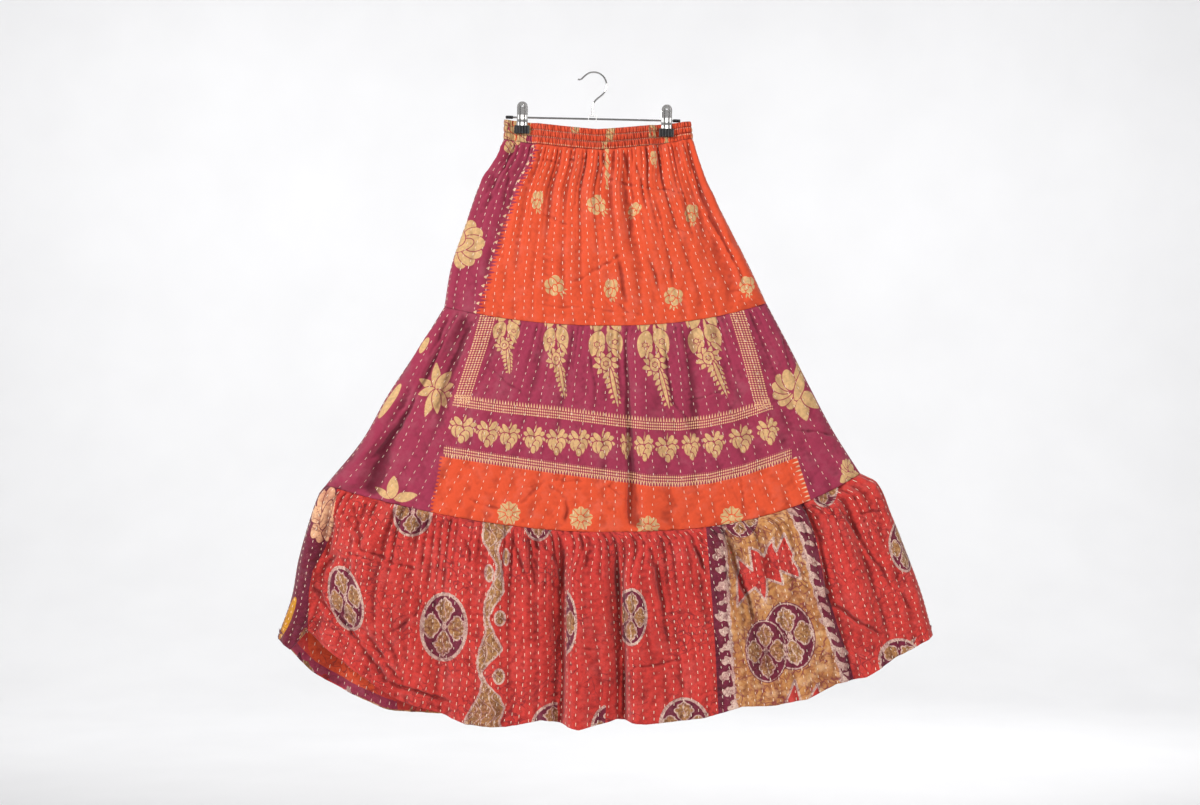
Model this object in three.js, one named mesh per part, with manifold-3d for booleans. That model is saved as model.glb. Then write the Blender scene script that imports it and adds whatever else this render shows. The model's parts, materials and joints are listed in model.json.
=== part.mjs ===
// A three-tiered quilted cotton skirt with a ruffled elastic waist, hung flat from a two-clip hanger.
// Millimetres, +Z up. The skirt's back faces -Y and its front faces +Y; left and right are as seen from -Y.
// The origin is under the top of the hanger's hook, where a rail or a nail carries it.
import * as THREE from "three";
import Module from "manifold-3d";
import { mergeVertices } from "three/addons/utils/BufferGeometryUtils.js";

const wasm = await Module();
wasm.setup();

// Cloth and seams
const CLOTH = 1.6; // two layers of cotton, quilted together with running stitch
const SEAM_GAP = 0.3; // between pieces that are sewn together
const BAND_WALL = 3.2; // casing and elastic at a row of stitching
const WAY_IN = CLOTH + SEAM_GAP; // the least distance from the middle plane to a wall's outer face

// Hanger, in its own frame: the bar lies level, and the whole is then tilted
const TILT = THREE.MathUtils.degToRad(1.25); // it hangs a little lower on the right
const BAR = { drop: 71.4, radius: 1.5, length: 262 }; // drop: from the origin down to the bar's axis
const CAP = { radius: 2.5, length: 11.5, past: 4.4 }; // rubber ends; past: how far beyond the bar's end
const HOOK = { wire: 1.3, radius: 20, shank: -1 }; // wire: its radius; shank: where it is, across
// top, foot: heights from the bar's axis
const BRACKET = { halfWidth: 6.5, strap: 1, top: 5.6, foot: -3.4, halfDepth: 3 };
const CLIP_AT = [-109.5, 114]; // the clips' middles along the bar
const JAW = { top: 24, foot: -23.6, halfWidth: 8.2, plate: 1 };
const JAW_BENDS = [
  { height: 24, inner: 7 },
  { height: 3.6, inner: 3.7 },
  { height: -3.4, inner: 3.7 },
  { height: -8, inner: 6.5 },
  { height: -11.5, inner: 6.5 },
  { height: -23.6, inner: 6.5 },
]; // inner: from the middle plane to a jaw's inner face
const JAW_RIBS = { at: 0.42, halfWidth: 0.09, out: 0.6 }; // at: as a share of the half width
const EYE = { radius: 2.2, below: 6.2 }; // the round hole in a jaw's thumb end; below: from its top
const GRIP = { top: -13.4, height: 12.4, halfWidth: 11.6, inner: 5.2, outer: 9.2, ribs: 5, rib: 0.7 };
const SPRING = { inner: 1.8, outer: 3.2, halfLength: 5.5 };
const CLEAR = 0.3; // between the hanger's own pieces

// Each level's outline. left, right: where it ends; zLeft, zMid, zRight: its height there and in the middle;
// bendLeft, bendRight: how late it turns up towards its ends; back, front: how far the cloth stands out from
// the middle plane; edge: the same at the two folded ends. down: the share of its tier that is above it.
const WAIST_TOP = {
  down: 0, left: -139, right: 150, zLeft: -72.6, zMid: -88.5, zRight: -75.6,
  bendLeft: 1.15, bendRight: 1.2, back: 13, front: 11, edge: 8,
};
const WAIST_SEAM = {
  down: 1, left: -140, right: 153, zLeft: -103, zMid: -120, zRight: -102,
  bendLeft: 1.4, bendRight: 1.5, back: 15, front: 13, edge: 8,
};
const HIP_SEAM = {
  down: 1, left: -232, right: 267, zLeft: -363, zMid: -393, zRight: -357,
  bendLeft: 2, bendRight: 2.4, back: 36, front: 28, edge: 13,
};
const KNEE_SEAM = {
  down: 1, left: -415, right: 412, zLeft: -638, zMid: -708, zRight: -620,
  bendLeft: 1.7, bendRight: 2.9, back: 50, front: 36, edge: 16,
};
const HEM = {
  down: 1, left: -490, right: 525, zLeft: -873, zMid: -998, zRight: -870,
  bendLeft: 3.7, bendRight: 2.3, back: 64, front: 44, edge: 20,
};

const asTop = (seam) => ({ ...seam, down: 0 });
const BAND_LEVELS = [WAIST_TOP, WAIST_SEAM];
const UPPER_LEVELS = [
  asTop(WAIST_SEAM),
  { down: 0.1, left: -150, right: 160, zLeft: -129, zMid: -147.5, zRight: -127.5,
    bendLeft: 1.6, bendRight: 1.7, back: 19, front: 16, edge: 9 },
  { down: 0.25, left: -175, right: 174, zLeft: -168, zMid: -188.5, zRight: -166,
    bendLeft: 1.8, bendRight: 2, back: 24, front: 20, edge: 10 },
  { down: 0.5, left: -199, right: 206, zLeft: -234.5, zMid: -257, zRight: -233.5,
    bendLeft: 2.1, bendRight: 2.4, back: 29, front: 23, edge: 11 },
  { down: 0.75, left: -221, right: 238, zLeft: -299, zMid: -325, zRight: -295,
    bendLeft: 2, bendRight: 2.4, back: 33, front: 26, edge: 12 },
  HIP_SEAM,
];
const MIDDLE_LEVELS = [
  asTop(HIP_SEAM),
  { down: 0.25, left: -275, right: 302, zLeft: -432, zMid: -472, zRight: -423,
    bendLeft: 1.9, bendRight: 2.5, back: 42, front: 31, edge: 14 },
  { down: 0.5, left: -320, right: 335, zLeft: -500, zMid: -550.5, zRight: -488,
    bendLeft: 1.8, bendRight: 2.6, back: 46, front: 33, edge: 15 },
  { down: 0.75, left: -359, right: 370, zLeft: -569, zMid: -629, zRight: -554,
    bendLeft: 1.8, bendRight: 2.8, back: 48, front: 35, edge: 15 },
  KNEE_SEAM,
];
const LOWER_LEVELS = [
  asTop(KNEE_SEAM),
  { down: 0.06, left: -426, right: 438, zLeft: -652, zMid: -725.5, zRight: -634,
    bendLeft: 1.8, bendRight: 2.8, back: 55, front: 40, edge: 18 },
  { down: 0.25, left: -442, right: 460, zLeft: -697, zMid: -780.5, zRight: -682,
    bendLeft: 2.1, bendRight: 2.6, back: 58, front: 41, edge: 19 },
  { down: 0.5, left: -458, right: 485, zLeft: -755, zMid: -853, zRight: -745,
    bendLeft: 2.6, bendRight: 2.5, back: 60, front: 42, edge: 20 },
  { down: 0.75, left: -469, right: 508, zLeft: -814, zMid: -925.5, zRight: -808,
    bendLeft: 3.2, bendRight: 2.4, back: 62, front: 43, edge: 20 },
  HEM,
];

// Gathers under each seam. waves: on each side; perWave: columns for each; drift: how unevenly they are
// spaced, as a share of a wave; steps: shares of the tier's height; sizes: how high a gather stands there.
const UPPER_GATHERS = {
  waves: 14, perWave: 4, drift: 1.1,
  steps: [0, 0.05, 0.14, 0.34, 0.66, 1],
  sizes: [0.8, 4, 3.6, 2, 0.9, 0],
};
const MIDDLE_GATHERS = {
  waves: 10, perWave: 5, drift: 0.8,
  steps: [0, 0.06, 0.2, 0.42, 0.7, 1],
  sizes: [0.2, 2.8, 2.4, 1.4, 0.7, 0],
};
const LOWER_GATHERS = {
  waves: 21, perWave: 4, drift: 1.3,
  steps: [0, 0.06, 0.18, 0.4, 0.7, 0.925, 1],
  sizes: [0.2, 5, 4.6, 3, 2, 2, 2],
};

// The large folds of each tier and side. top, bottom: where a fold starts and ends, across; from, to: the
// same as shares of the tier's height; half: its half width; out: how far it stands out, or in where it is
// negative; lean: how far its crest is pushed sideways, to the right where it is positive.
const UPPER_BACK_FOLDS = [
  { top: 158, bottom: 250, from: 0.06, to: 1, half: 15, out: 9, lean: -5 },
  { top: 132, bottom: 222, from: 0.06, to: 0.98, half: 15, out: -7, lean: 0 },
  { top: 14, bottom: 30, from: 0, to: 0.5, half: 10, out: -6, lean: 0 },
  { top: 44, bottom: 78, from: 0, to: 0.75, half: 11, out: -6, lean: 0 },
  { top: -60, bottom: -84, from: 0, to: 0.6, half: 11, out: -5, lean: 0 },
  { top: -112, bottom: -178, from: 0, to: 0.8, half: 12, out: -6, lean: 0 },
];
const UPPER_FRONT_FOLDS = [
  { top: -112, bottom: -188, from: 0, to: 0.95, half: 14, out: 7, lean: 4 },
  { top: -30, bottom: -42, from: 0, to: 0.6, half: 11, out: -5, lean: 0 },
  { top: 36, bottom: 60, from: 0, to: 0.8, half: 12, out: -6, lean: 0 },
  { top: 104, bottom: 176, from: 0, to: 0.9, half: 13, out: 7, lean: -4 },
];
const MIDDLE_BACK_FOLDS = [
  { top: 38, bottom: 66, from: 0, to: 1, half: 13, out: -8, lean: 0 },
  { top: 66, bottom: 92, from: 0, to: 1, half: 16, out: 8, lean: -7 },
  { top: -196, bottom: -268, from: 0, to: 0.7, half: 14, out: -9, lean: 0 },
  { top: -250, bottom: -348, from: 0.3, to: 1, half: 18, out: -14, lean: 0 },
  { top: -226, bottom: -384, from: 0.05, to: 1, half: 22, out: 12, lean: 6 },
  { top: 146, bottom: 164, from: 0, to: 0.7, half: 12, out: -7, lean: 0 },
  { top: 210, bottom: 300, from: 0.1, to: 0.9, half: 16, out: 5, lean: 0 },
];
const MIDDLE_FRONT_FOLDS = [
  { top: -170, bottom: -262, from: 0, to: 1, half: 16, out: 8, lean: 5 },
  { top: -64, bottom: -96, from: 0, to: 1, half: 14, out: -8, lean: 0 },
  { top: 54, bottom: 92, from: 0, to: 1, half: 15, out: 8, lean: -4 },
  { top: 160, bottom: 250, from: 0.1, to: 1, half: 15, out: -8, lean: 0 },
];
const LOWER_BACK_FOLDS = [
  { top: -46, bottom: -54, from: 0.05, to: 1, half: 17, out: -20, lean: 0 },
  { top: -12, bottom: -14, from: 0.05, to: 1, half: 24, out: 16, lean: -14 },
  { top: 38, bottom: 46, from: 0.05, to: 1, half: 15, out: -20, lean: 0 },
  { top: 70, bottom: 80, from: 0.05, to: 1, half: 24, out: 16, lean: -14 },
  { top: 204, bottom: 282, from: 0, to: 0.95, half: 15, out: -13, lean: 0 },
  { top: 330, bottom: 402, from: 0, to: 1, half: 15, out: -12, lean: 0 },
  { top: 356, bottom: 440, from: 0, to: 0.9, half: 19, out: 9, lean: 0 },
  { top: -398, bottom: -436, from: 0.1, to: 1, half: 16, out: -15, lean: 0 },
  { top: -352, bottom: -330, from: 0.05, to: 0.8, half: 34, out: 16, lean: -5 },
  { top: -262, bottom: -232, from: 0, to: 1, half: 22, out: -11, lean: 0 },
  { top: -150, bottom: -160, from: 0, to: 1, half: 22, out: 8, lean: 0 },
];
const LOWER_FRONT_FOLDS = [
  { top: -350, bottom: -404, from: 0.05, to: 1, half: 24, out: 12, lean: 6 },
  { top: -276, bottom: -316, from: 0.05, to: 1, half: 20, out: -12, lean: 0 },
  { top: -150, bottom: -172, from: 0.05, to: 1, half: 26, out: 13, lean: 8 },
  { top: -30, bottom: -34, from: 0.05, to: 1, half: 22, out: -13, lean: 0 },
  { top: 84, bottom: 106, from: 0.05, to: 1, half: 26, out: 13, lean: -8 },
  { top: 206, bottom: 246, from: 0.05, to: 1, half: 22, out: -12, lean: 0 },
  { top: 316, bottom: 386, from: 0.05, to: 1, half: 24, out: 12, lean: -6 },
];
// How the hem wanders from its level's line: across as a share of the half width, lift in height. The back's
// hem is caught up towards its left end, so the inside of the front shows under it.
const HEM_LIFTS = {
  back: [
    { across: -1, lift: 0 },
    { across: -0.955, lift: 2 },
    { across: -0.905, lift: 50 },
    { across: -0.78, lift: 37 },
    { across: -0.63, lift: 13 },
    { across: -0.5, lift: 5 },
    { across: -0.42, lift: -7 },
    { across: -0.3, lift: -6 },
    { across: -0.19, lift: 5 },
    { across: -0.08, lift: -7 },
    { across: 0.03, lift: 6 },
    { across: 0.12, lift: 0 },
    { across: 0.3, lift: 1 },
    { across: 0.41, lift: 9 },
    { across: 0.5, lift: 0 },
    { across: 0.61, lift: -5 },
    { across: 0.7, lift: 2 },
    { across: 0.79, lift: -8 },
    { across: 0.88, lift: 2 },
    { across: 1, lift: 0 },
  ],
  front: [
    { across: -1, lift: -4 },
    { across: -0.9, lift: -18 },
    { across: -0.68, lift: -20 },
    { across: -0.48, lift: -8 },
    { across: -0.3, lift: 0 },
    { across: 1, lift: 0 },
  ],
};

// The elastic casing: three channels between rows of stitching. down: a share of its height;
// swell: how far it stands out from the row of stitching.
const CHANNELS = [
  { down: 0, swell: 0.6 },
  { down: 0.15, swell: 2.6 },
  { down: 0.3, swell: 0 },
  { down: 0.47, swell: 2.8 },
  { down: 0.64, swell: 0 },
  { down: 0.82, swell: 2.8 },
  { down: 1, swell: 0.4 },
];
const RUFFLES = 55; // on each side
const RUFFLE = 0.9; // how far a ruffle stands out, as a share of half the swell
const PINCH = { full: 14, fade: 12, depth: 3.6, squeeze: 0.72 }; // where a clip presses the casing flat

const HEM_FACING = { height: 20, wall: 1, above: 1.2, short: 4 }; // above: the hem; short: columns left off

const BACK = { sign: -1, depth: "back", seed: 0.35 };
const FRONT = { sign: 1, depth: "front", seed: 2.1 };

const lerp = THREE.MathUtils.lerp;
const clamp = THREE.MathUtils.clamp;
const smooth = (x, from, to) => THREE.MathUtils.smoothstep(x, from, to);

// Reads one column of a table at x, on straight lines between its rows.
function along(rows, key, value, x) {
  const next = rows.findIndex((row) => row[key] >= x);
  if (next <= 0) return rows[next === 0 ? 0 : rows.length - 1][value];
  const a = rows[next - 1];
  const b = rows[next];
  return lerp(a[value], b[value], (x - a[key]) / (b[key] - a[key]));
}

// The level at a share of a tier's height, on a smooth curve through the tier's rows.
function levelAt(levels, down) {
  const last = levels.length - 1;
  const i = clamp(levels.findIndex((level) => level.down >= down) - 1, 0, last - 1);
  const [p, q] = [levels[i], levels[i + 1]];
  const [before, after] = [levels[Math.max(i - 1, 0)], levels[Math.min(i + 2, last)]];
  const span = q.down - p.down;
  const u = clamp((down - p.down) / span, 0, 1);
  const level = {};
  for (const key of Object.keys(p)) {
    const slopeP = (q[key] - before[key]) / (q.down - before.down);
    const slopeQ = (after[key] - p[key]) / (after.down - p.down);
    const h = u * u * (3 - 2 * u);
    level[key] =
      p[key] * (1 - h) + q[key] * h +
      slopeP * span * u * (1 - u) * (1 - u) - slopeQ * span * u * u * (1 - u);
  }
  return level;
}

// Where each clip stands in the part's own frame, across.
const clipsAcross = CLIP_AT.map((x) => x * Math.cos(TILT) - BAR.drop * Math.sin(TILT));

// 1 where a clip presses the waist flat, 0 away from it.
function pinchAt(x) {
  const from = Math.min(...clipsAcross.map((clip) => Math.abs(x - clip)));
  return 1 - smooth(from, PINCH.full, PINCH.full + PINCH.fade);
}

// How far across a level a point is: -1 at its left end, 1 at its right.
const acrossAt = (level, x) => clamp((2 * (x - level.left)) / (level.right - level.left) - 1, -1, 1);

// A level's height at a point across. Every point of the cloth at a seam lies on one such line.
function heightAt(level, x) {
  const across = acrossAt(level, x);
  const [end, bend] = across < 0 ? [level.zLeft, level.bendLeft] : [level.zRight, level.bendRight];
  return level.zMid + (end - level.zMid) * Math.abs(across) ** bend;
}

// One side of a level as a plain curve seen from above, with no folds: the point at a share of its length.
const CURVE_STEPS = 240;
function sideCurve(level, side, pinch) {
  const middle = (level.left + level.right) / 2;
  const half = (level.right - level.left) / 2;
  const points = [];
  for (let i = 0; i <= CURVE_STEPS; i++) {
    const across = -Math.cos((Math.PI * i) / CURVE_STEPS);
    const x = middle + half * across;
    const belly = level.edge + (level[side.depth] - level.edge) * (1 - across * across);
    const inward = clamp(1 - (half * (1 - Math.abs(across))) / level.edge, 0, 1);
    const cap = Math.sqrt(1 - inward * inward);
    const pressed = Math.min(belly, lerp(belly, PINCH.depth, pinch * pinchAt(x)));
    points.push({ x, y: side.sign * (SEAM_GAP / 2 + pressed * cap), run: 0 });
  }
  for (let i = 1; i <= CURVE_STEPS; i++) {
    const [a, b] = [points[i - 1], points[i]];
    b.run = a.run + Math.hypot(b.x - a.x, b.y - a.y);
  }
  const whole = points[CURVE_STEPS].run;
  return (share) => {
    const run = clamp(share, 0, 1) * whole;
    const next = Math.max(1, points.findIndex((p) => p.run >= run - 1e-9));
    const [a, b] = [points[next - 1], points[next]];
    const u = (run - a.run) / (b.run - a.run);
    const length = Math.hypot(b.x - a.x, b.y - a.y);
    // nx, ny: the way outwards, level with the floor
    return {
      x: lerp(a.x, b.x, u),
      y: lerp(a.y, b.y, u),
      nx: (side.sign * -(b.y - a.y)) / length,
      ny: (side.sign * (b.x - a.x)) / length,
    };
  };
}

// How many waves have passed at a share of the way across. It has whole waves at both ends.
function wavesPassed(share, waves, drift, seed) {
  return (
    waves * share +
    (drift / (2 * Math.PI)) *
      (Math.sin(2 * Math.PI * share * 2 + seed) - Math.sin(seed) +
        0.6 * (Math.sin(2 * Math.PI * share * 5 + 3 * seed) - Math.sin(3 * seed)))
  );
}

// The shares of the way across at which each gather's crest, flanks and trough lie.
function columnsOf(gathers, side) {
  const count = gathers.waves * gathers.perWave;
  const shares = [0];
  for (let i = 1; i < count; i++) {
    let [low, high] = [0, 1];
    for (let step = 0; step < 30; step++) {
      const middle = (low + high) / 2;
      const passed = wavesPassed(middle, gathers.waves, gathers.drift, side.seed);
      if (passed < i / gathers.perWave) low = middle;
      else high = middle;
    }
    shares.push((low + high) / 2);
  }
  return [...shares, 1];
}

// How far a gather stands out at a point: round ridges with narrower troughs, each a little different.
function gatherAt(gathers, side, share, down) {
  const table = gathers.steps.map((step, i) => ({ step, size: gathers.sizes[i] }));
  const size = along(table, "step", "size", down);
  const passed = wavesPassed(share, gathers.waves, gathers.drift, side.seed);
  const uneven = 0.75 + 0.25 * Math.sin(passed * 2.4 + side.seed) + 0.2 * Math.sin(passed * 5.1);
  return size * uneven * (Math.abs(Math.sin(Math.PI * passed)) * 2 - 1);
}

// The large folds' push outwards and sideways at a point.
function foldsAt(folds, x, down) {
  let [out, lean] = [0, 0];
  for (const fold of folds) {
    const middle = lerp(fold.top, fold.bottom, down);
    const near = (x - middle) / fold.half;
    const start = fold.from <= 0 ? smooth(down, -0.02, 0.1) : smooth(down, fold.from, fold.from + 0.2);
    const end = fold.to >= 1 ? 1 : 1 - smooth(down, fold.to - 0.25, fold.to);
    const bump = Math.exp(-near * near) * start * end;
    out += fold.out * bump;
    lean += fold.lean * bump;
  }
  return { out, lean };
}

// A point of a tier's outer face, seen from above.
function tierPoint(tier, side, curve, share, down) {
  const p = curve(share);
  const folds = foldsAt(tier.folds[side.depth], p.x, down);
  const seam = smooth(down, 0, 0.05) * (tier.freeHem ? 1 : 1 - smooth(down, 0.95, 1));
  const ends = smooth(share, 0, 0.03) * (1 - smooth(share, 0.97, 1));
  const room = Math.max(0, Math.abs(p.y) - WAY_IN);
  const out = (gatherAt(tier.gathers, side, share, down) + folds.out * seam) * ends;
  const push = Math.max(out, -room);
  return new THREE.Vector3(p.x + p.nx * push + folds.lean * seam * ends, p.y + p.ny * push, 0);
}

// The way inwards at each point of a row, level with the floor. handed: 1 where the row runs to the right as
// seen from outside, and -1 where it runs to the left.
function inwardOf(row, handed) {
  return row.map((_, i) => {
    const a = row[Math.max(i - 1, 0)];
    const b = row[Math.min(i + 1, row.length - 1)];
    return new THREE.Vector3(a.y - b.y, b.x - a.x, 0).normalize().multiplyScalar(handed);
  });
}

// A closed solid between two grids of points. Each is a list of rows; the two have as many columns. Seen from
// the outer side, rows run down and columns to the right. closed: the last column joins the first.
function wall(outer, inner, closed = false) {
  const columns = outer[0].length;
  const vertices = [];
  const faces = [];
  const add = (grid) =>
    grid.map((row) => row.map((p) => vertices.push(p.x, p.y, p.z) / 3 - 1));
  const quad = (a, b, c, d) => faces.push(a, b, c, a, c, d);
  const o = add(outer);
  const n = add(inner);
  const strips = closed ? columns : columns - 1;
  const skin = (grid, inside) => {
    for (let r = 0; r + 1 < grid.length; r++)
      for (let c = 0; c < strips; c++) {
        const d = (c + 1) % columns;
        const [upper, lower] = [grid[r], grid[r + 1]];
        if (inside) quad(upper[c], upper[d], lower[d], lower[c]);
        else quad(upper[c], lower[c], lower[d], upper[d]);
      }
  };
  skin(o, false);
  skin(n, true);
  const [lastO, lastN] = [o.length - 1, n.length - 1];
  for (let c = 0; c < strips; c++) {
    const d = (c + 1) % columns;
    quad(o[0][c], o[0][d], n[0][d], n[0][c]);
    quad(o[lastO][d], o[lastO][c], n[lastN][c], n[lastN][d]);
  }
  if (!closed) {
    const end = columns - 1;
    for (let r = 0; r < lastO; r++) {
      quad(o[r][0], n[r][0], n[r + 1][0], o[r + 1][0]);
      quad(o[r][end], o[r + 1][end], n[r + 1][end], n[r][end]);
    }
  }
  const geometry = new THREE.BufferGeometry();
  geometry.setAttribute("position", new THREE.Float32BufferAttribute(vertices, 3));
  geometry.setIndex(faces);
  geometry.computeVertexNormals();
  return geometry;
}

// A row of points on one side, in the order in which the outer face is seen from outside, left to right.
const seenFromOutside = (row, side) => (side === BACK ? row : [...row].reverse());

// One side of a tier as two grids, the outer and the inner face of its cloth, from side seam to side seam.
function tierSide(tier, side) {
  const shares = columnsOf(tier.gathers, side);
  const height = tier.levels[0].zMid - tier.levels.at(-1).zMid;
  const trim = SEAM_GAP / 2 / height;
  const lowest = tier.freeHem ? 1 : 1 - trim;
  const [outer, inner] = [[], []];
  for (const step of tier.gathers.steps) {
    const down = clamp(step, trim, lowest);
    const level = levelAt(tier.levels, down);
    const curve = sideCurve(level, side, tier.pinch * (1 - smooth(down, 0, 0.3)));
    const row = shares.map((share) => tierPoint(tier, side, curve, share, down));
    const inward = inwardOf(row, -side.sign);
    const behind = row.map((p, i) => {
      const q = p.clone().addScaledVector(inward[i], CLOTH);
      q.y = side.sign * Math.max(side.sign * q.y, SEAM_GAP / 2);
      return q;
    });
    for (const line of [row, behind])
      line.forEach((p, i) => {
        if (i === 0 || i === line.length - 1) p.y = (side.sign * SEAM_GAP) / 2;
        const lift = along(tier.lifts[side.depth], "across", "lift", acrossAt(level, p.x));
        p.z = heightAt(level, p.x) + lift * down ** 3;
      });
    outer.push(row);
    inner.push(behind);
  }
  return { outer, inner };
}

function tierSolid(tier, side) {
  const { outer, inner } = tierSide(tier, side);
  return wall(outer.map((row) => seenFromOutside(row, side)), inner.map((row) => seenFromOutside(row, side)));
}

// The elastic casing, a ring with ruffled channels outside and a plain inside.
function waistband() {
  const shares = Array.from({ length: RUFFLES * 2 }, (_, i) => i / (RUFFLES * 2));
  const height = WAIST_TOP.zMid - WAIST_SEAM.zMid;
  const lowest = 1 - SEAM_GAP / 2 / height;
  // A ring at a share of the band's height, with each point moved outwards.
  const ringAt = (down, outBy) => {
    const level = levelAt(BAND_LEVELS, down);
    const [back, front] = [BACK, FRONT].map((side) => sideCurve(level, side, 1));
    const ring = [...shares.map((share) => back(share)), ...shares.map((share) => front(1 - share))];
    return ring.map((p, i) => {
      const out = outBy(p, i);
      const x = p.x + p.nx * out;
      return new THREE.Vector3(x, p.y + p.ny * out, heightAt(level, x));
    });
  };
  const ruffled = (swell) => (p, i) =>
    swell * (1 + (i % 2 ? -RUFFLE : RUFFLE) / 2) * (1 - PINCH.squeeze * pinchAt(p.x));
  const outer = CHANNELS.map(({ down, swell }) => ringAt(Math.min(down, lowest), ruffled(swell)));
  const inner = [0, lowest].map((down) => ringAt(down, () => -BAND_WALL));
  return wall(outer, inner, true);
}

// The strip inside the front's hem, made from the lower tier's inner points, moved in.
function hemFacing(tier) {
  const { inner } = tierSide(tier, FRONT);
  const [above, hem] = inner.slice(-2);
  const middle = Math.floor(above.length / 2);
  const length = above[middle].distanceTo(hem[middle]);
  const low = 1 - HEM_FACING.above / length;
  const high = low - HEM_FACING.height / length;
  const movedIn = (row, by) => {
    const inward = inwardOf(row, -FRONT.sign);
    return row.map((p, i) => p.clone().addScaledVector(inward[i], by));
  };
  const line = (share, by) => {
    const [from, to] = [movedIn(above, by), movedIn(hem, by)];
    return from.map((p, i) => p.lerp(to[i], share)).slice(HEM_FACING.short, -HEM_FACING.short);
  };
  const faces = [SEAM_GAP, SEAM_GAP + HEM_FACING.wall].map((by) =>
    [high, low].map((share) => seenFromOutside(line(share, by), FRONT)));
  return wall(...faces);
}

const FINISH = {
  orange: { color: 0xe8552b, roughness: 0.85, metalness: 0 },
  plum: { color: 0x9a2f52, roughness: 0.85, metalness: 0 },
  red: { color: 0xc23a32, roughness: 0.85, metalness: 0 },
  chrome: { color: 0xd8d6d2, roughness: 0.2, metalness: 1 },
  rubber: { color: 0x2b2b2e, roughness: 0.7, metalness: 0 },
};

function piece(name, geometry, finish) {
  const mesh = new THREE.Mesh(geometry, new THREE.MeshStandardMaterial({ ...FINISH[finish] }));
  mesh.name = name;
  return mesh;
}

const NO_LIFT = { back: [{ across: -1, lift: 0 }], front: [{ across: -1, lift: 0 }] };
const TIERS = {
  upper: {
    levels: UPPER_LEVELS, gathers: UPPER_GATHERS, lifts: NO_LIFT, pinch: 1, freeHem: false, finish: "orange",
    folds: { back: UPPER_BACK_FOLDS, front: UPPER_FRONT_FOLDS },
  },
  middle: {
    levels: MIDDLE_LEVELS, gathers: MIDDLE_GATHERS, lifts: NO_LIFT, pinch: 0, freeHem: false, finish: "plum",
    folds: { back: MIDDLE_BACK_FOLDS, front: MIDDLE_FRONT_FOLDS },
  },
  lower: {
    levels: LOWER_LEVELS, gathers: LOWER_GATHERS, lifts: HEM_LIFTS, pinch: 0, freeHem: true, finish: "red",
    folds: { back: LOWER_BACK_FOLDS, front: LOWER_FRONT_FOLDS },
  },
};

function skirt() {
  const group = new THREE.Group();
  group.add(piece("waistband", waistband(), "orange"));
  for (const [name, tier] of Object.entries(TIERS)) {
    group.add(piece(`${name}_tier_back`, tierSolid(tier, BACK), tier.finish));
    group.add(piece(`${name}_tier_front`, tierSolid(tier, FRONT), tier.finish));
  }
  group.add(piece("hem_facing_front", hemFacing(TIERS.lower), "plum"));
  return group;
}

// A solid that can be cut, from a closed geometry.
function solid(geometry) {
  const bare = geometry.clone();
  bare.deleteAttribute("normal");
  bare.deleteAttribute("uv");
  const merged = mergeVertices(bare, 1e-4);
  const mesh = new wasm.Mesh({
    numProp: 3,
    vertProperties: Float32Array.from(merged.attributes.position.array),
    triVerts: Uint32Array.from(merged.index.array),
  });
  return new wasm.Manifold(mesh);
}

// A geometry with others taken out of it.
function cut(geometry, cutters) {
  const left = cutters.reduce((body, cutter) => body.subtract(solid(cutter)), solid(geometry));
  const mesh = left.getMesh();
  const result = new THREE.BufferGeometry();
  result.setAttribute("position", new THREE.Float32BufferAttribute(mesh.vertProperties, 3));
  result.setIndex([...mesh.triVerts]);
  result.computeVertexNormals();
  return result;
}

// A tube along a line.
function tube(line, radius, sides, steps) {
  const section = new THREE.Shape().absarc(0, 0, radius, 0, 2 * Math.PI);
  const options = { extrudePath: line, steps, curveSegments: sides / 2, bevelEnabled: false };
  return new THREE.ExtrudeGeometry(section, options);
}

// The hook: a flicked tip, most of a circle round the rail, and an S-bend into the shank.
function hookWire() {
  const centre = new THREE.Vector3(0, 0, HOOK.wire - HOOK.radius);
  const round = [];
  for (let degrees = 112; degrees >= -40; degrees -= 19) {
    const angle = THREE.MathUtils.degToRad(degrees);
    const arm = new THREE.Vector3(Math.cos(angle), 0, Math.sin(angle)).multiplyScalar(HOOK.radius);
    round.push(centre.clone().add(arm));
  }
  const at = (x, z) => new THREE.Vector3(x, 0, z);
  const tip = [at(-25, -10.4), at(-20.5, -10.6), at(-14.4, -5)];
  const foot = BRACKET.top + CLEAR - BAR.drop;
  const bend = [at(4.2, -41.5), at(-0.4, -48), at(HOOK.shank, -56), at(HOOK.shank, foot)];
  return tube(new THREE.CatmullRomCurve3([...tip, ...round, ...bend]), HOOK.wire, 8, 36);
}

// A round piece along X: a closed profile of radius and place along, turned about the axis.
function turned(profile, sides) {
  const points = profile.map(({ radius, along: place }) => new THREE.Vector2(radius, place));
  return new THREE.LatheGeometry(points, sides).rotateZ(-Math.PI / 2);
}

const rod = (radius, length, sides) =>
  turned([{ radius: 0, along: -length / 2 }, { radius, along: -length / 2 },
    { radius, along: length / 2 }, { radius: 0, along: length / 2 }], sides);

// The bent strap that holds the hook's shank on the bar, with a hole for the bar through each leg.
function bracket() {
  const { halfWidth, strap, top: high, foot, halfDepth } = BRACKET;
  const outline = [
    [-halfWidth, foot], [-halfWidth + strap, foot], [-halfWidth + strap, high - strap],
    [halfWidth - strap, high - strap], [halfWidth - strap, foot], [halfWidth, foot],
    [halfWidth, high], [-halfWidth, high],
  ];
  const shape = new THREE.Shape(outline.map(([x, z]) => new THREE.Vector2(x, z)));
  const strapped = new THREE.ExtrudeGeometry(shape, { depth: 2 * halfDepth, bevelEnabled: false });
  strapped.translate(0, 0, -halfDepth).rotateX(Math.PI / 2);
  return cut(strapped, [rod(BAR.radius + CLEAR, 4 * halfWidth, 16)]);
}

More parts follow.
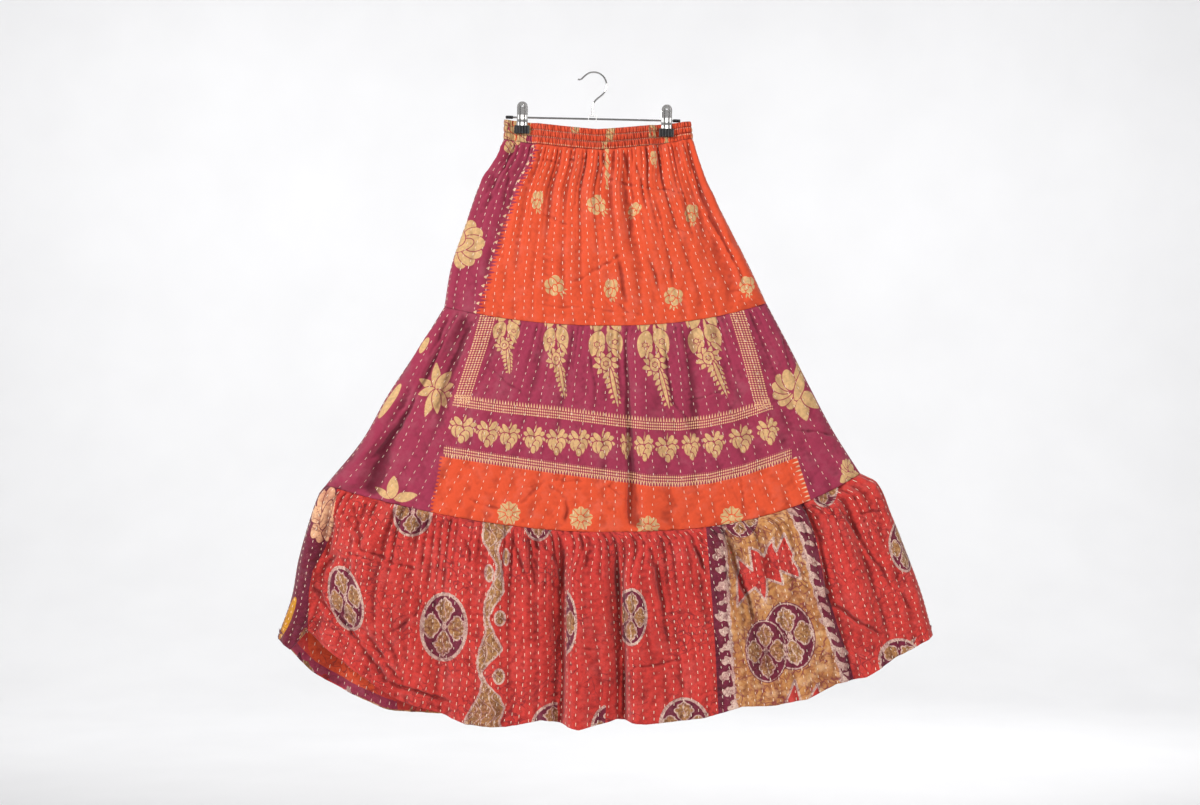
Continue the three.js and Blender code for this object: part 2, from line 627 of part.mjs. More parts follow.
// A rubber cap: a cup over the bar's end.
function barCap() {
  const over = CAP.length - CAP.past;
  const hole = BAR.radius + CLEAR;
  return turned([
    { radius: 0, along: CLEAR }, { radius: hole, along: CLEAR }, { radius: hole, along: -over },
    { radius: CAP.radius, along: -over }, { radius: CAP.radius, along: CAP.past - 0.8 },
    { radius: CAP.radius - 0.8, along: CAP.past }, { radius: 0, along: CAP.past },
  ], 16);
}

// One jaw of a clip, on the +Y side: a bent plate with two ribs, a round thumb end and an eye.
function jaw() {
  const { top: high, foot, halfWidth, plate } = JAW;
  const arch = [0.04, 0.16, 0.36, 0.64, 1].map((share) => high - halfWidth * share);
  const bends = JAW_BENDS.slice(1).map((row) => row.height);
  const heights = [...arch, ...bends];
  const { at, halfWidth: half, out } = JAW_RIBS;
  const across = [-1, -at - half, -at, -at + half, at - half, at, at + half, 1];
  const raised = across.map((share) => (Math.abs(Math.abs(share) - at) < 1e-9 ? out : 0));
  const bendRows = [...JAW_BENDS].reverse();
  const rows = (outside) =>
    heights.map((z) => {
      const above = Math.max(0, z - (high - halfWidth)) / halfWidth;
      const width = halfWidth * Math.sqrt(1 - above * above);
      const inner = along(bendRows, "height", "inner", z);
      const rib = (i) => (above > 0 || z < GRIP.top + 2 ? 0 : raised[i]);
      return across.map((share, i) =>
        new THREE.Vector3(width * share, inner + (outside ? plate + rib(i) : 0), Math.max(z, foot)));
    });
  const turnedRound = (grid) => grid.map((row) => [...row].reverse());
  const eye = rod(EYE.radius, 40, 10).rotateZ(Math.PI / 2).translate(0, 0, high - EYE.below);
  return cut(wall(turnedRound(rows(true)), turnedRound(rows(false))), [eye]);
}

// A jaw's rubber grip: a ribbed shoe round the plate's foot.
function grip() {
  const { top: high, height, halfWidth, inner, outer, ribs, rib } = GRIP;
  const block = new THREE.BoxGeometry(2 * halfWidth, outer - inner, height);
  block.translate(0, (inner + outer) / 2, high - height / 2);
  const plateInner = JAW_BENDS.at(-1).inner - CLEAR;
  const slotWidth = 2 * (JAW.halfWidth + CLEAR);
  const slotDepth = JAW.plate + 2 * CLEAR;
  const slotHeight = high - JAW.foot + CLEAR;
  const slot = new THREE.BoxGeometry(slotWidth, slotDepth, 2 * slotHeight);
  slot.translate(0, plateInner + slotDepth / 2, high);
  const pitch = (2 * halfWidth) / ribs;
  const grooves = Array.from({ length: ribs - 1 }, (_, i) => {
    const groove = new THREE.BoxGeometry(pitch * 0.35, 2 * rib, 2 * height);
    return groove.translate((i + 1 - ribs / 2) * pitch, outer, high);
  });
  return cut(block, [slot, ...grooves]);
}

// The coil on the bar between a clip's jaws.
function spring() {
  const { inner, outer, halfLength } = SPRING;
  return turned([
    { radius: inner, along: -halfLength }, { radius: outer, along: -halfLength },
    { radius: outer, along: halfLength }, { radius: inner, along: halfLength },
    { radius: inner, along: -halfLength },
  ], 14);
}

function hanger() {
  const group = new THREE.Group();
  group.rotation.y = TILT;
  group.add(piece("hanger_hook", hookWire(), "chrome"));
  const onBar = new THREE.Group();
  onBar.position.z = -BAR.drop;
  group.add(onBar);
  onBar.add(piece("hanger_bar", rod(BAR.radius, BAR.length, 12), "chrome"));
  const strap = piece("hanger_bracket", bracket(), "chrome");
  strap.position.x = HOOK.shank;
  onBar.add(strap);
  for (const [name, end] of [["left", -1], ["right", 1]]) {
    const cap = piece(`bar_cap_${name}`, barCap(), "rubber");
    cap.position.x = (end * BAR.length) / 2;
    if (end < 0) cap.rotation.z = Math.PI;
    onBar.add(cap);
  }
  CLIP_AT.forEach((x, i) => {
    const name = `clip_${["left", "right"][i]}`;
    const clip = new THREE.Group();
    clip.position.x = x;
    onBar.add(clip);
    clip.add(piece(`${name}_spring`, spring(), "chrome"));
    for (const [face, turn] of [["front", 0], ["back", Math.PI]]) {
      const half = new THREE.Group();
      half.rotation.z = turn;
      half.add(piece(`${name}_jaw_${face}`, jaw(), "chrome"));
      half.add(piece(`${name}_grip_${face}`, grip(), "rubber"));
      clip.add(half);
    }
  });
  return group;
}

const tieredSkirt = new THREE.Group();
tieredSkirt.add(skirt(), hanger());
export default tieredSkirt;
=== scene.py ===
"""The look of a three-tiered quilted skirt on a clip hanger: fine cloth on the form of the solids, running
stitch, printed cotton, metal and rubber, light and camera. Metres in Blender; the tables are in millimetres,
with left and right as the skirt's back is seen."""
import json
import math

import bpy
import numpy as np
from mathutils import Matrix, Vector

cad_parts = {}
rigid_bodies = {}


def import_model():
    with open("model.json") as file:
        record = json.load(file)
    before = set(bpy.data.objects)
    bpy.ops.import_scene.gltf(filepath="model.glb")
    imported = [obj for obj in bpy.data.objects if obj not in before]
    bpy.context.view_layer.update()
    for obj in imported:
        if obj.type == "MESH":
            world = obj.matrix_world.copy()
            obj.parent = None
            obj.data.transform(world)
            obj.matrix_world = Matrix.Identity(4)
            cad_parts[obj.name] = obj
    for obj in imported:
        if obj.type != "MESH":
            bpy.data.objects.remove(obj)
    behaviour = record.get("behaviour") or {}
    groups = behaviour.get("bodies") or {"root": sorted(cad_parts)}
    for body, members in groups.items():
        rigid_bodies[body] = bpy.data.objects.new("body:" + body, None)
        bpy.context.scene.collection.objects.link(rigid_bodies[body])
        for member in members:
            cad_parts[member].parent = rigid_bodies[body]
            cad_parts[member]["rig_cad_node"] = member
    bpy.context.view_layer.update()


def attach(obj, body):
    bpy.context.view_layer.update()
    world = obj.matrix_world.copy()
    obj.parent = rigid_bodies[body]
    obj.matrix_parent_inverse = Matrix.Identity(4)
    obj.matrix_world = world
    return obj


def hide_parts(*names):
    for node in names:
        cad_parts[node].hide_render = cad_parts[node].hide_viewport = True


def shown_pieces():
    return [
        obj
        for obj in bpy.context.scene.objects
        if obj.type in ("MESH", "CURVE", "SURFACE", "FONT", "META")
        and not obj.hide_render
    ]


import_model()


MM = 0.001

# The cloth's levels, as the solids have them. Columns: share of the tier's height, left, right, height at
# the left end, in the middle and at the right end, how late it turns up to the left and right, and how far
# it stands out at the back, at the front and at its folded ends.
WAIST_TOP = (0, -139, 150, -72.6, -88.5, -75.6, 1.15, 1.2, 13, 11, 8)
WAIST_SEAM = (1, -140, 153, -103, -120, -102, 1.4, 1.5, 15, 13, 8)
HIP_SEAM = (1, -232, 267, -363, -393, -357, 2, 2.4, 36, 28, 13)
KNEE_SEAM = (1, -415, 412, -638, -708, -620, 1.7, 2.9, 50, 36, 16)
HEM = (1, -490, 525, -873, -998, -870, 3.7, 2.3, 64, 44, 20)
LEVELS = {
    "band": [WAIST_TOP, WAIST_SEAM],
    "upper": [
        (0, *WAIST_SEAM[1:]),
        (0.1, -150, 160, -129, -147.5, -127.5, 1.6, 1.7, 19, 16, 9),
        (0.25, -175, 174, -168, -188.5, -166, 1.8, 2, 24, 20, 10),
        (0.5, -199, 206, -234.5, -257, -233.5, 2.1, 2.4, 29, 23, 11),
        (0.75, -221, 238, -299, -325, -295, 2, 2.4, 33, 26, 12),
        HIP_SEAM,
    ],
    "middle": [
        (0, *HIP_SEAM[1:]),
        (0.25, -275, 302, -432, -472, -423, 1.9, 2.5, 42, 31, 14),
        (0.5, -320, 335, -500, -550.5, -488, 1.8, 2.6, 46, 33, 15),
        (0.75, -359, 370, -569, -629, -554, 1.8, 2.8, 48, 35, 15),
        KNEE_SEAM,
    ],
    "lower": [
        (0, *KNEE_SEAM[1:]),
        (0.06, -426, 438, -652, -725.5, -634, 1.8, 2.8, 55, 40, 18),
        (0.25, -442, 460, -697, -780.5, -682, 2.1, 2.6, 58, 41, 19),
        (0.5, -458, 485, -755, -853, -745, 2.6, 2.5, 60, 42, 20),
        (0.75, -469, 508, -814, -925.5, -808, 3.2, 2.4, 62, 43, 20),
        HEM,
    ],
}
DOWN, LEFT, RIGHT, Z_LEFT, Z_MID, Z_RIGHT, BEND_LEFT, BEND_RIGHT, BACK, FRONT, EDGE = range(11)

# Gathers: waves on each side, how unevenly they are spaced, and (share of the height, how high) pairs
GATHERS = {
    "upper": (14, 1.1, [(0, 0.8), (0.05, 4), (0.14, 3.6), (0.34, 2), (0.66, 0.9), (1, 0)]),
    "middle": (10, 0.8, [(0, 0.2), (0.06, 2.8), (0.2, 2.4), (0.42, 1.4), (0.7, 0.7), (1, 0)]),
    "lower": (21, 1.3, [(0, 0.2), (0.06, 5), (0.18, 4.6), (0.4, 3), (0.7, 2), (1, 2)]),
}
# Large folds: where at the top and at the bottom of the tier, from and to which share of its height,
# half width, how far out, and how far its crest leans to the right
FOLDS = {
    ("upper", "back"): [
        (158, 250, 0.06, 1, 15, 9, -5), (132, 222, 0.06, 0.98, 15, -7, 0), (14, 30, 0, 0.5, 10, -6, 0),
        (44, 78, 0, 0.75, 11, -6, 0), (-60, -84, 0, 0.6, 11, -5, 0), (-112, -178, 0, 0.8, 12, -6, 0),
    ],
    ("upper", "front"): [
        (-112, -188, 0, 0.95, 14, 7, 4), (-30, -42, 0, 0.6, 11, -5, 0), (36, 60, 0, 0.8, 12, -6, 0),
        (104, 176, 0, 0.9, 13, 7, -4),
    ],
    ("middle", "back"): [
        (38, 66, 0, 1, 13, -8, 0), (66, 92, 0, 1, 16, 8, -7), (-196, -268, 0, 0.7, 14, -9, 0),
        (-250, -348, 0.3, 1, 18, -14, 0), (-226, -384, 0.05, 1, 22, 12, 6), (146, 164, 0, 0.7, 12, -7, 0),
        (210, 300, 0.1, 0.9, 16, 5, 0),
    ],
    ("middle", "front"): [
        (-170, -262, 0, 1, 16, 8, 5), (-64, -96, 0, 1, 14, -8, 0), (54, 92, 0, 1, 15, 8, -4),
        (160, 250, 0.1, 1, 15, -8, 0),
    ],
    ("lower", "back"): [
        (-46, -54, 0.05, 1, 17, -20, 0), (-12, -14, 0.05, 1, 24, 16, -14), (38, 46, 0.05, 1, 15, -20, 0),
        (70, 80, 0.05, 1, 24, 16, -14), (204, 282, 0, 0.95, 15, -13, 0), (330, 402, 0, 1, 15, -12, 0),
        (356, 440, 0, 0.9, 19, 9, 0), (-398, -436, 0.1, 1, 16, -15, 0),
        (-352, -330, 0.05, 0.8, 34, 16, -5), (-262, -232, 0, 1, 22, -11, 0), (-150, -160, 0, 1, 22, 8, 0),
    ],
    ("lower", "front"): [
        (-350, -404, 0.05, 1, 24, 12, 6), (-276, -316, 0.05, 1, 20, -12, 0),
        (-150, -172, 0.05, 1, 26, 13, 8), (-30, -34, 0.05, 1, 22, -13, 0), (84, 106, 0.05, 1, 26, 13, -8),
        (206, 246, 0.05, 1, 22, -12, 0), (316, 386, 0.05, 1, 24, 12, -6),
    ],
}
# How the hem wanders: (place across from -1 to 1, lift)
HEM_LIFTS = {
    "back": [
        (-1, 0), (-0.955, 2), (-0.905, 50), (-0.78, 37), (-0.63, 13), (-0.5, 5), (-0.42, -7), (-0.3, -6),
        (-0.19, 5), (-0.08, -7), (0.03, 6), (0.12, 0), (0.3, 1), (0.41, 9), (0.5, 0), (0.61, -5), (0.7, 2),
        (0.79, -8), (0.88, 2), (1, 0),
    ],
    "front": [(-1, -4), (-0.9, -18), (-0.68, -20), (-0.48, -8), (-0.3, 0), (1, 0)],
}
RUFFLES = 84
# The band's channels: (share of its height, how far the ruffles stand out)
CHANNEL_SHAPE = [
    (0, 0.4), (0.06, 2.0), (0.15, 2.9), (0.25, 2.0), (0.31, -0.9), (0.37, 2.0), (0.475, 3.1), (0.57, 2.0),
    (0.64, -1.4), (0.71, 2.0), (0.82, 3.3), (0.94, 2.0), (1, -0.2),
]
# Gold on the band: from and to across in the picture, and as shares of its height
BAND_GOLD = [
    (500, 524, -1, 2), (524, 529, -1, 0.62), (571, 579, -1, 0.32), (606, 615, -1, 0.66),
    (649, 658, -1, 0.66), (602, 607, 0.66, 2), (695, 697, 0.3, 1), (667, 671, 0.66, 2),
]
# The band's height at its middle, as the solids have it and as its print counts it, and its thickness
BAND_HEIGHT, BAND_PRINT_HEIGHT, BAND_WALL = 31.5, 31, 3.2
# The gap between the solids' panels, and how near the middle plane a fold, the turned-up edge and the lining
# may come
SEAM_GAP, WAY_IN, HEM_CLEAR, LINING_CLEAR = 0.3, 1.9, 0.4, 0.3
# How far the lining lies behind the cloth, how much less at the tier's foot, and how far it is up at the hem
LINING_BEHIND, LINING_CLOSER, LINING_UP = 8.0, 5.4, 1.2
# Points on a side of a level, before rows are taken from it
CURVE_POINTS = 1201
# The bar's tilt, its distance above the clips' middles, and where those are across
TILT, BAR_DROP = math.radians(1.25), 71.4
CLIPS = [x * math.cos(TILT) - BAR_DROP * math.sin(TILT) for x in (-109.5, 114)]
# How a clip presses the band: half width in full, width of the fade, depth left, share of ruffle taken out
PINCH_FULL, PINCH_FADE, PINCH_DEPTH, PINCH_SQUEEZE = 14, 12, 3.6, 0.72
SIGN = {"back": -1, "front": 1}
SEED = {"back": 0.35, "front": 2.1}
# The front has the back's print and creases in mirror image, about half of these places across
PRINT_MIRROR, CREASE_MIRROR = 18, 14


def smooth(x, low, high):
    u = np.clip((np.asarray(x, float) - low) / (high - low), 0, 1)
    return u * u * (3 - 2 * u)


def table(rows, x):
    xs, ys = zip(*rows)
    return np.interp(x, xs, ys)


def level_at(levels, down):
    """The level at a share of a tier's height, on a smooth curve through its rows."""
    rows = np.array(levels, float)
    last = len(rows) - 1
    i = int(np.clip(np.searchsorted(rows[:, 0], down) - 1, 0, last - 1))
    p, q = rows[i], rows[i + 1]
    before, after = rows[max(i - 1, 0)], rows[min(i + 2, last)]
    span = q[0] - p[0]
    u = min(max((down - p[0]) / span, 0), 1)
    slope_p = (q - before) / (q[0] - before[0])
    slope_q = (after - p) / (after[0] - p[0])
    h = u * u * (3 - 2 * u)
    return p * (1 - h) + q * h + slope_p * span * u * (1 - u) ** 2 - slope_q * span * u * u * (1 - u)


def pinch_at(x):
    """How hard the nearest clip presses there, from 0 to 1."""
    near = np.min([np.abs(x - clip) for clip in CLIPS], axis=0)
    return 1 - smooth(near, PINCH_FULL, PINCH_FULL + PINCH_FADE)


def across_at(level, x):
    """The share of the way across, from -1 at the left end to 1 at the right."""
    return np.clip(2 * (x - level[LEFT]) / (level[RIGHT] - level[LEFT]) - 1, -1, 1)


def height_at(level, x):
    across = across_at(level, x)
    end = np.where(across < 0, level[Z_LEFT], level[Z_RIGHT])
    bend = np.where(across < 0, level[BEND_LEFT], level[BEND_RIGHT])
    return level[Z_MID] + (end - level[Z_MID]) * np.abs(across) ** bend


def side_curve(level, side, pinch, shares):
    """Points of one side of a level, seen from above: x, y, the way out, and the run along it from x = 0."""
    middle, half = (level[LEFT] + level[RIGHT]) / 2, (level[RIGHT] - level[LEFT]) / 2
    across = -np.cos(np.linspace(0, np.pi, CURVE_POINTS))
    x = middle + half * across
    depth = level[BACK if side == "back" else FRONT]
    belly = level[EDGE] + (depth - level[EDGE]) * (1 - across**2)
    inward = np.clip(1 - half * (1 - np.abs(across)) / level[EDGE], 0, 1)
    pressed = np.minimum(belly, belly + (PINCH_DEPTH - belly) * pinch * pinch_at(x))
    y = SIGN[side] * (SEAM_GAP / 2 + pressed * np.sqrt(1 - inward**2))
    step = np.hypot(np.diff(x), np.diff(y))
    run = np.concatenate([[0], np.cumsum(step)])
    wanted = np.clip(shares, 0, 1) * run[-1]
    tx, ty = np.gradient(x, run), np.gradient(y, run)
    length = np.hypot(tx, ty)
    normal_x, normal_y = -SIGN[side] * ty / length, SIGN[side] * tx / length
    start = np.interp(0, x, run)
    return [np.interp(wanted, run, values) for values in (x, y, normal_x, normal_y, run - start)]


def waves_passed(share, waves, drift, seed):
    """How many waves lie before a share of the side, unevenly spaced by drift."""
    return waves * share + drift / (2 * np.pi) * (
        np.sin(4 * np.pi * share + seed) - np.sin(seed)
        + 0.6 * (np.sin(10 * np.pi * share + 3 * seed) - np.sin(3 * seed))
    )


def gather_at(tier, side, share, down):
    waves, drift, sizes = GATHERS[tier]
    passed = waves_passed(share, waves, drift, SEED[side])
    uneven = 0.75 + 0.25 * np.sin(passed * 2.4 + SEED[side]) + 0.2 * np.sin(passed * 5.1)
    ridge = np.sqrt(np.sin(np.pi * passed) ** 2 + 0.006)
    return table(sizes, down) * uneven * (2 * ridge - 1)


def folds_at(tier, side, x, down):
    """How far the large folds stand out, and lean to the right."""
    out, lean = np.zeros_like(x), np.zeros_like(x)
    for top, bottom, start, stop, half, push, sideways in FOLDS[tier, side]:
        near = (x - (top + (bottom - top) * down)) / half
        begun = smooth(down, -0.02, 0.1) if start <= 0 else smooth(down, start, start + 0.2)
        ended = 1 if stop >= 1 else 1 - smooth(down, stop - 0.25, stop)
        bump = np.exp(-near * near) * begun * ended
        out += push * bump
        lean += sideways * bump
    return out, lean


def wander(seed, count, u, v, short, long):
    """An even, unstructured ripple between -1 and 1, from waves of seeded directions and lengths."""
    rng = np.random.default_rng(seed)
    total = np.zeros(np.broadcast(u, v).shape)
    for _ in range(count):
        turn, wave, phase = rng.uniform(0, np.pi), rng.uniform(short, long), rng.uniform(0, 2 * np.pi)
        total += np.sin(2 * np.pi * (u * np.cos(turn) + v * np.sin(turn)) / wave + phase)
    return total / math.sqrt(count)


# Of each tier: height; rows of stitch on a side; near and far: grid columns for each of them, and grid rows;
# pucker between them; ripple: fine, broad and tight; small gathers: waves, height and fade; depth of the
# creases; how far the clips press it; seed; stitch: seed, pitch, length and half width; slot; and a sheet's
# flat size in metres
TIERS = {
    "upper": {
        "height": 273, "rows": 33, "near": (13, 220), "far": (6, 110), "pucker": 0.5,
        "ripple": (0.18, 0.8, 0.25), "small": (47, 2.4, 0.26), "crease": 1.15, "pressed": 1, "seed": 3,
        "stitch": (11, 10.6, 4.9, 0.5), "slot": "orange_print", "flat": (0.52, 0.275),
    },
    "middle": {
        "height": 315, "rows": 38, "near": (12, 210), "far": (6, 110), "pucker": 0.55,
        "ripple": (0.18, 0.8, 0.25), "small": (57, 1.4, 0.2), "crease": 1.2, "pressed": 0, "seed": 5,
        "stitch": (12, 11.0, 4.9, 0.5), "slot": "plum_print", "flat": (0.82, 0.32),
    },
    "lower": {
        "height": 290, "rows": 84, "near": (7, 160), "far": (4, 84), "pucker": 1.2,
        "ripple": (0.4, 1.3, 0.5), "small": (71, 2.6, 0.3), "crease": 1.6, "pressed": 0, "seed": 8,
        "stitch": (13, 11.4, 5.2, 0.6), "slot": "red_batik", "flat": (1.2, 0.3),
    },
}
RIPPLE_LENGTH = 10.5
# How the lower tier's edge is turned up inside: (how far in, how far up) of each row after the last
HEM_TURN = ((0.5, -0.7), (1.3, -0.8), (1.9, 0), (2.1, 4), (2.1, 9), (2.0, 14))

# Creases placed on the side that shows, as (from, to) in the picture, half width, and push out or in
CREASES = {
    "upper": [
        (543, 214, 572, 226, 2.4, -1.4), (572, 226, 575, 200, 2.4, -1.2), (570, 284, 600, 268, 2.6, -1.4),
        (600, 268, 618, 257, 2.6, -1.8), (618, 257, 626, 300, 3.0, -1.8), (614, 180, 648, 187, 2.4, -1.8),
        (648, 187, 684, 192, 2.4, -1.8), (586, 158, 566, 160, 2.0, -1.2), (535, 158, 562, 162, 2.2, -1.4),
        (695, 166, 712, 216, 3.6, -3.4), (712, 216, 736, 256, 3.8, -3.8), (736, 256, 747, 282, 3.4, -3.0),
        (682, 190, 694, 240, 2.6, -2.0), (648, 255, 660, 290, 2.8, -1.8), (602, 150, 608, 172, 2.6, -2.4),
        (624, 150, 634, 196, 2.6, -2.4), (634, 196, 629, 240, 2.6, -1.6), (538, 305, 580, 308, 2.2, -1.2),
        (590, 308, 650, 316, 2.2, -1.0), (532, 250, 560, 262, 2.4, 1.2), (668, 226, 690, 232, 2.2, -1.0),
        (655, 196, 668, 250, 2.4, -1.6), (668, 250, 676, 296, 2.6, -1.2), (480, 205, 500, 180, 3.0, 2.0),
        (610, 298, 628, 312, 2.2, -1.3), (636, 160, 646, 205, 2.2, -1.8), (720, 210, 742, 256, 2.6, -1.8),
        (735, 290, 756, 286, 2.2, -1.2), (512, 170, 506, 200, 2.4, 1.6),
    ],
    "middle": [
        (470, 322, 452, 360, 2.6, -2.2), (452, 360, 430, 420, 2.6, -1.6), (494, 372, 520, 392, 2.0, -1.2),
        (548, 340, 560, 380, 2.2, -1.4), (590, 345, 596, 400, 2.2, -1.4), (664, 345, 672, 400, 2.6, -2.0),
        (672, 400, 690, 422, 2.6, -1.8), (690, 400, 722, 392, 1.8, -1.6), (570, 470, 560, 486, 2.2, -1.3),
        (610, 486, 634, 508, 2.0, -1.2), (600, 488, 612, 480, 2.0, 1.4), (378, 430, 350, 468, 3.0, 2.0),
        (411, 402, 396, 426, 4.0, -4.2), (396, 426, 366, 458, 4.0, -4.2), (440, 345, 412, 400, 3.6, -2.6),
        (446, 320, 430, 352, 3.2, -2.6), (627, 330, 629, 400, 3.2, -2.6), (629, 400, 631, 460, 3.4, -3.2),
        (631, 460, 630, 522, 3.6, -3.6), (522, 502, 544, 482, 3.2, -1.5), (546, 482, 564, 496, 3.0, -1.1),
        (558, 480, 582, 481, 2.4, -1.3), (470, 500, 508, 512, 2.4, -1.4), (567, 500, 566, 524, 2.8, -2.6),
        (784, 330, 792, 372, 2.4, -1.4), (800, 430, 846, 436, 2.2, -1.8), (430, 330, 408, 372, 2.6, 2.0),
        (520, 488, 542, 484, 2.0, -1.0), (742, 480, 744, 512, 2.2, -1.2),
    ],
    "lower": [
        (513, 533, 510, 583, 2.4, -1.8), (526, 537, 534, 581, 2.4, -2.2), (531, 534, 542, 554, 2.4, -2.0),
        (539, 535, 557, 564, 2.4, -2.2), (655, 554, 665, 604, 2.6, -2.4), (693, 546, 706, 570, 2.4, -2.0),
        (466, 540, 472, 563, 2.4, -1.8), (343, 516, 370, 545, 3.0, -2.6), (723, 526, 731, 560, 3.4, -3.0),
        (731, 560, 750, 598, 3.2, -3.0), (750, 598, 754, 617, 2.8, -2.2), (805, 504, 816, 528, 3.2, -3.0),
        (825, 547, 833, 606, 3.0, -2.4), (840, 608, 880, 633, 2.8, -2.4), (850, 517, 880, 566, 2.8, -2.2),
        (562, 530, 566, 600, 3.2, -3.0), (566, 600, 565, 722, 3.2, -3.0), (624, 540, 630, 600, 3.4, -3.2),
        (630, 600, 627, 722, 3.4, -3.2), (575, 520, 590, 560, 2.6, -2.4), (600, 540, 606, 590, 2.6, -2.0),
        (400, 505, 392, 560, 2.6, -1.8), (440, 522, 436, 580, 2.6, -1.8), (424, 515, 420, 560, 2.4, -1.6),
        (352, 508, 366, 552, 3.0, -2.6), (366, 552, 398, 566, 2.6, -2.0), (398, 566, 420, 572, 2.4, -1.4),
        (352, 556, 374, 562, 2.4, -1.6), (388, 640, 414, 618, 2.6, -1.8), (414, 618, 424, 590, 2.4, -1.6),
        (326, 612, 352, 650, 2.8, -2.4), (352, 650, 388, 668, 2.6, -1.8), (368, 650, 400, 690, 3.4, -3.0),
        (400, 690, 380, 640, 3.0, 2.0), (392, 694, 450, 704, 2.4, -1.8), (512, 540, 530, 585, 2.6, -2.4),
        (524, 530, 536, 566, 2.4, -2.0), (550, 532, 562, 586, 2.4, -2.0), (548, 560, 542, 600, 2.4, -1.4),
        (650, 548, 658, 570, 2.6, -2.4), (658, 560, 664, 610, 2.6, -2.4), (664, 610, 668, 640, 2.4, -1.4),
        (640, 618, 690, 612, 1.8, -1.0), (632, 668, 680, 660, 2.2, -1.6), (676, 676, 690, 694, 2.2, -1.2),
        (692, 540, 706, 572, 2.6, -2.2), (480, 614, 520, 622, 2.0, -1.0), (560, 640, 600, 648, 2.0, -1.2),
        (724, 528, 742, 580, 3.0, -3.4), (742, 580, 756, 620, 2.6, -2.4), (806, 505, 824, 540, 3.0, -3.0),
        (824, 540, 830, 600, 2.8, -2.4), (838, 606, 870, 628, 2.6, -2.4), (870, 628, 884, 636, 2.4, -1.6),
        (838, 506, 884, 570, 2.4, -2.0), (860, 515, 880, 512, 2.2, -1.8), (884, 570, 902, 600, 2.4, -1.4),
        (900, 590, 914, 610, 2.4, -1.4), (540, 700, 566, 694, 2.2, -1.4), (700, 694, 730, 690, 2.0, -1.0),
        (309, 594, 320, 618, 4.2, -3.0), (320, 618, 350, 648, 4.4, -3.4), (350, 648, 384, 692, 4.4, -3.6),
        (332, 600, 372, 640, 7.0, 2.6), (384, 692, 440, 703, 3.8, -3.2), (336, 554, 315, 579, 4.0, -3.0),
        (770, 590, 812, 572, 2.0, -1.2), (440, 560, 480, 572, 1.8, -1.0), (602, 660, 616, 648, 2.0, -1.4),
    ],
}

# The picture's size; its scale at the middle plane, its middle in the frame, and the camera's distance
PICTURE_WIDE, PICTURE_HIGH = 1200, 805
PIXEL, PICTURE_X, PICTURE_Z, DISTANCE = 1.55, 9.3, -510.7, 3000
STAND = {"band": 14, "upper": 26, "middle": 42, "lower": 58}


def spot(tier, px, py):
    """A place on a tier's near side, in mm, from a place in the picture."""
    nearer = DISTANCE / (DISTANCE - STAND[tier])
    x = PICTURE_X + (np.asarray(px, float) - PICTURE_WIDE / 2) * PIXEL / nearer
    z = PICTURE_Z - (np.asarray(py, float) - PICTURE_HIGH / 2) * PIXEL / nearer
    return x, z


def creases_at(tier, x, z):
    """How far the listed creases push out, each with a low lip on one side."""
    total = np.zeros_like(x)
    for ax, ay, bx, by, half, push in CREASES[tier]:
        (x0, x1), (z0, z1) = spot(tier, [ax, bx], [ay, by])
        length = math.hypot(x1 - x0, z1 - z0)
        ux, uz = (x1 - x0) / length, (z1 - z0) / length
        run = (x - x0) * ux + (z - z0) * uz
        aside = (x - x0) * uz - (z - z0) * ux
        u = np.clip(run / length, 0, 1)
        beyond = np.maximum(0, np.maximum(-run, run - length))
        fade = np.exp(-((beyond / 5) ** 2)) * (0.55 + 0.45 * np.sin(np.pi * u))
        bend = 1.1 * np.sin(2.4 * np.pi * u + ax)
        near = (aside - bend) / half
        lip = 0.5 * np.exp(-((near - 2.2) ** 2) / 1.6)
        total += TIERS[tier]["crease"] * push * fade * (np.exp(-near * near) - lip)
    return total


def tier_row(tier, side, shares, down, fine=True):
    """One row of a tier's outer face: x, y, z, the run along it, the way out (x, y) and the push so."""
    level = level_at(LEVELS[tier], down)
    free = tier == "lower"
    pinch = TIERS[tier]["pressed"] * float(1 - smooth(down, 0, 0.3))
    x, y, nx, ny, run = side_curve(level, side, pinch, shares)
    out, lean = folds_at(tier, side, x, down)
    seam = float(smooth(down, 0, 0.05)) * (1 if free else float(1 - smooth(down, 0.95, 1)))
    ends = smooth(shares, 0, 0.03) * (1 - smooth(shares, 0.97, 1))
    push = gather_at(tier, side, shares, down) + out * seam
    if fine:
        push = push + fine_relief(tier, side, shares, down, x, height_at(level, x))
    push = np.maximum(push * ends, -np.maximum(0, np.abs(y) - WAY_IN))
    x2, y2 = x + nx * push + lean * seam * ends, y + ny * push
    lift = table(HEM_LIFTS[side], across_at(level, x2)) * down**3 if free else 0
    return x2, y2, height_at(level, x2) + lift, run + x2 - x, nx, ny, push


def blurred(values, columns, rows):
    """Values averaged over their neighbours, that many on each side."""
    for axis, reach in ((1, columns), (0, rows)):
        width = [(reach, reach) if k == axis else (0, 0) for k in (0, 1)]
        sums = np.cumsum(np.pad(values, width, mode="edge"), axis=axis)
        sums = np.insert(sums, 0, 0, axis=axis)
        low = np.arange(values.shape[axis])
        values = (np.take(sums, low + 2 * reach + 1, axis) - np.take(sums, low, axis)) / (2 * reach + 1)
    return values


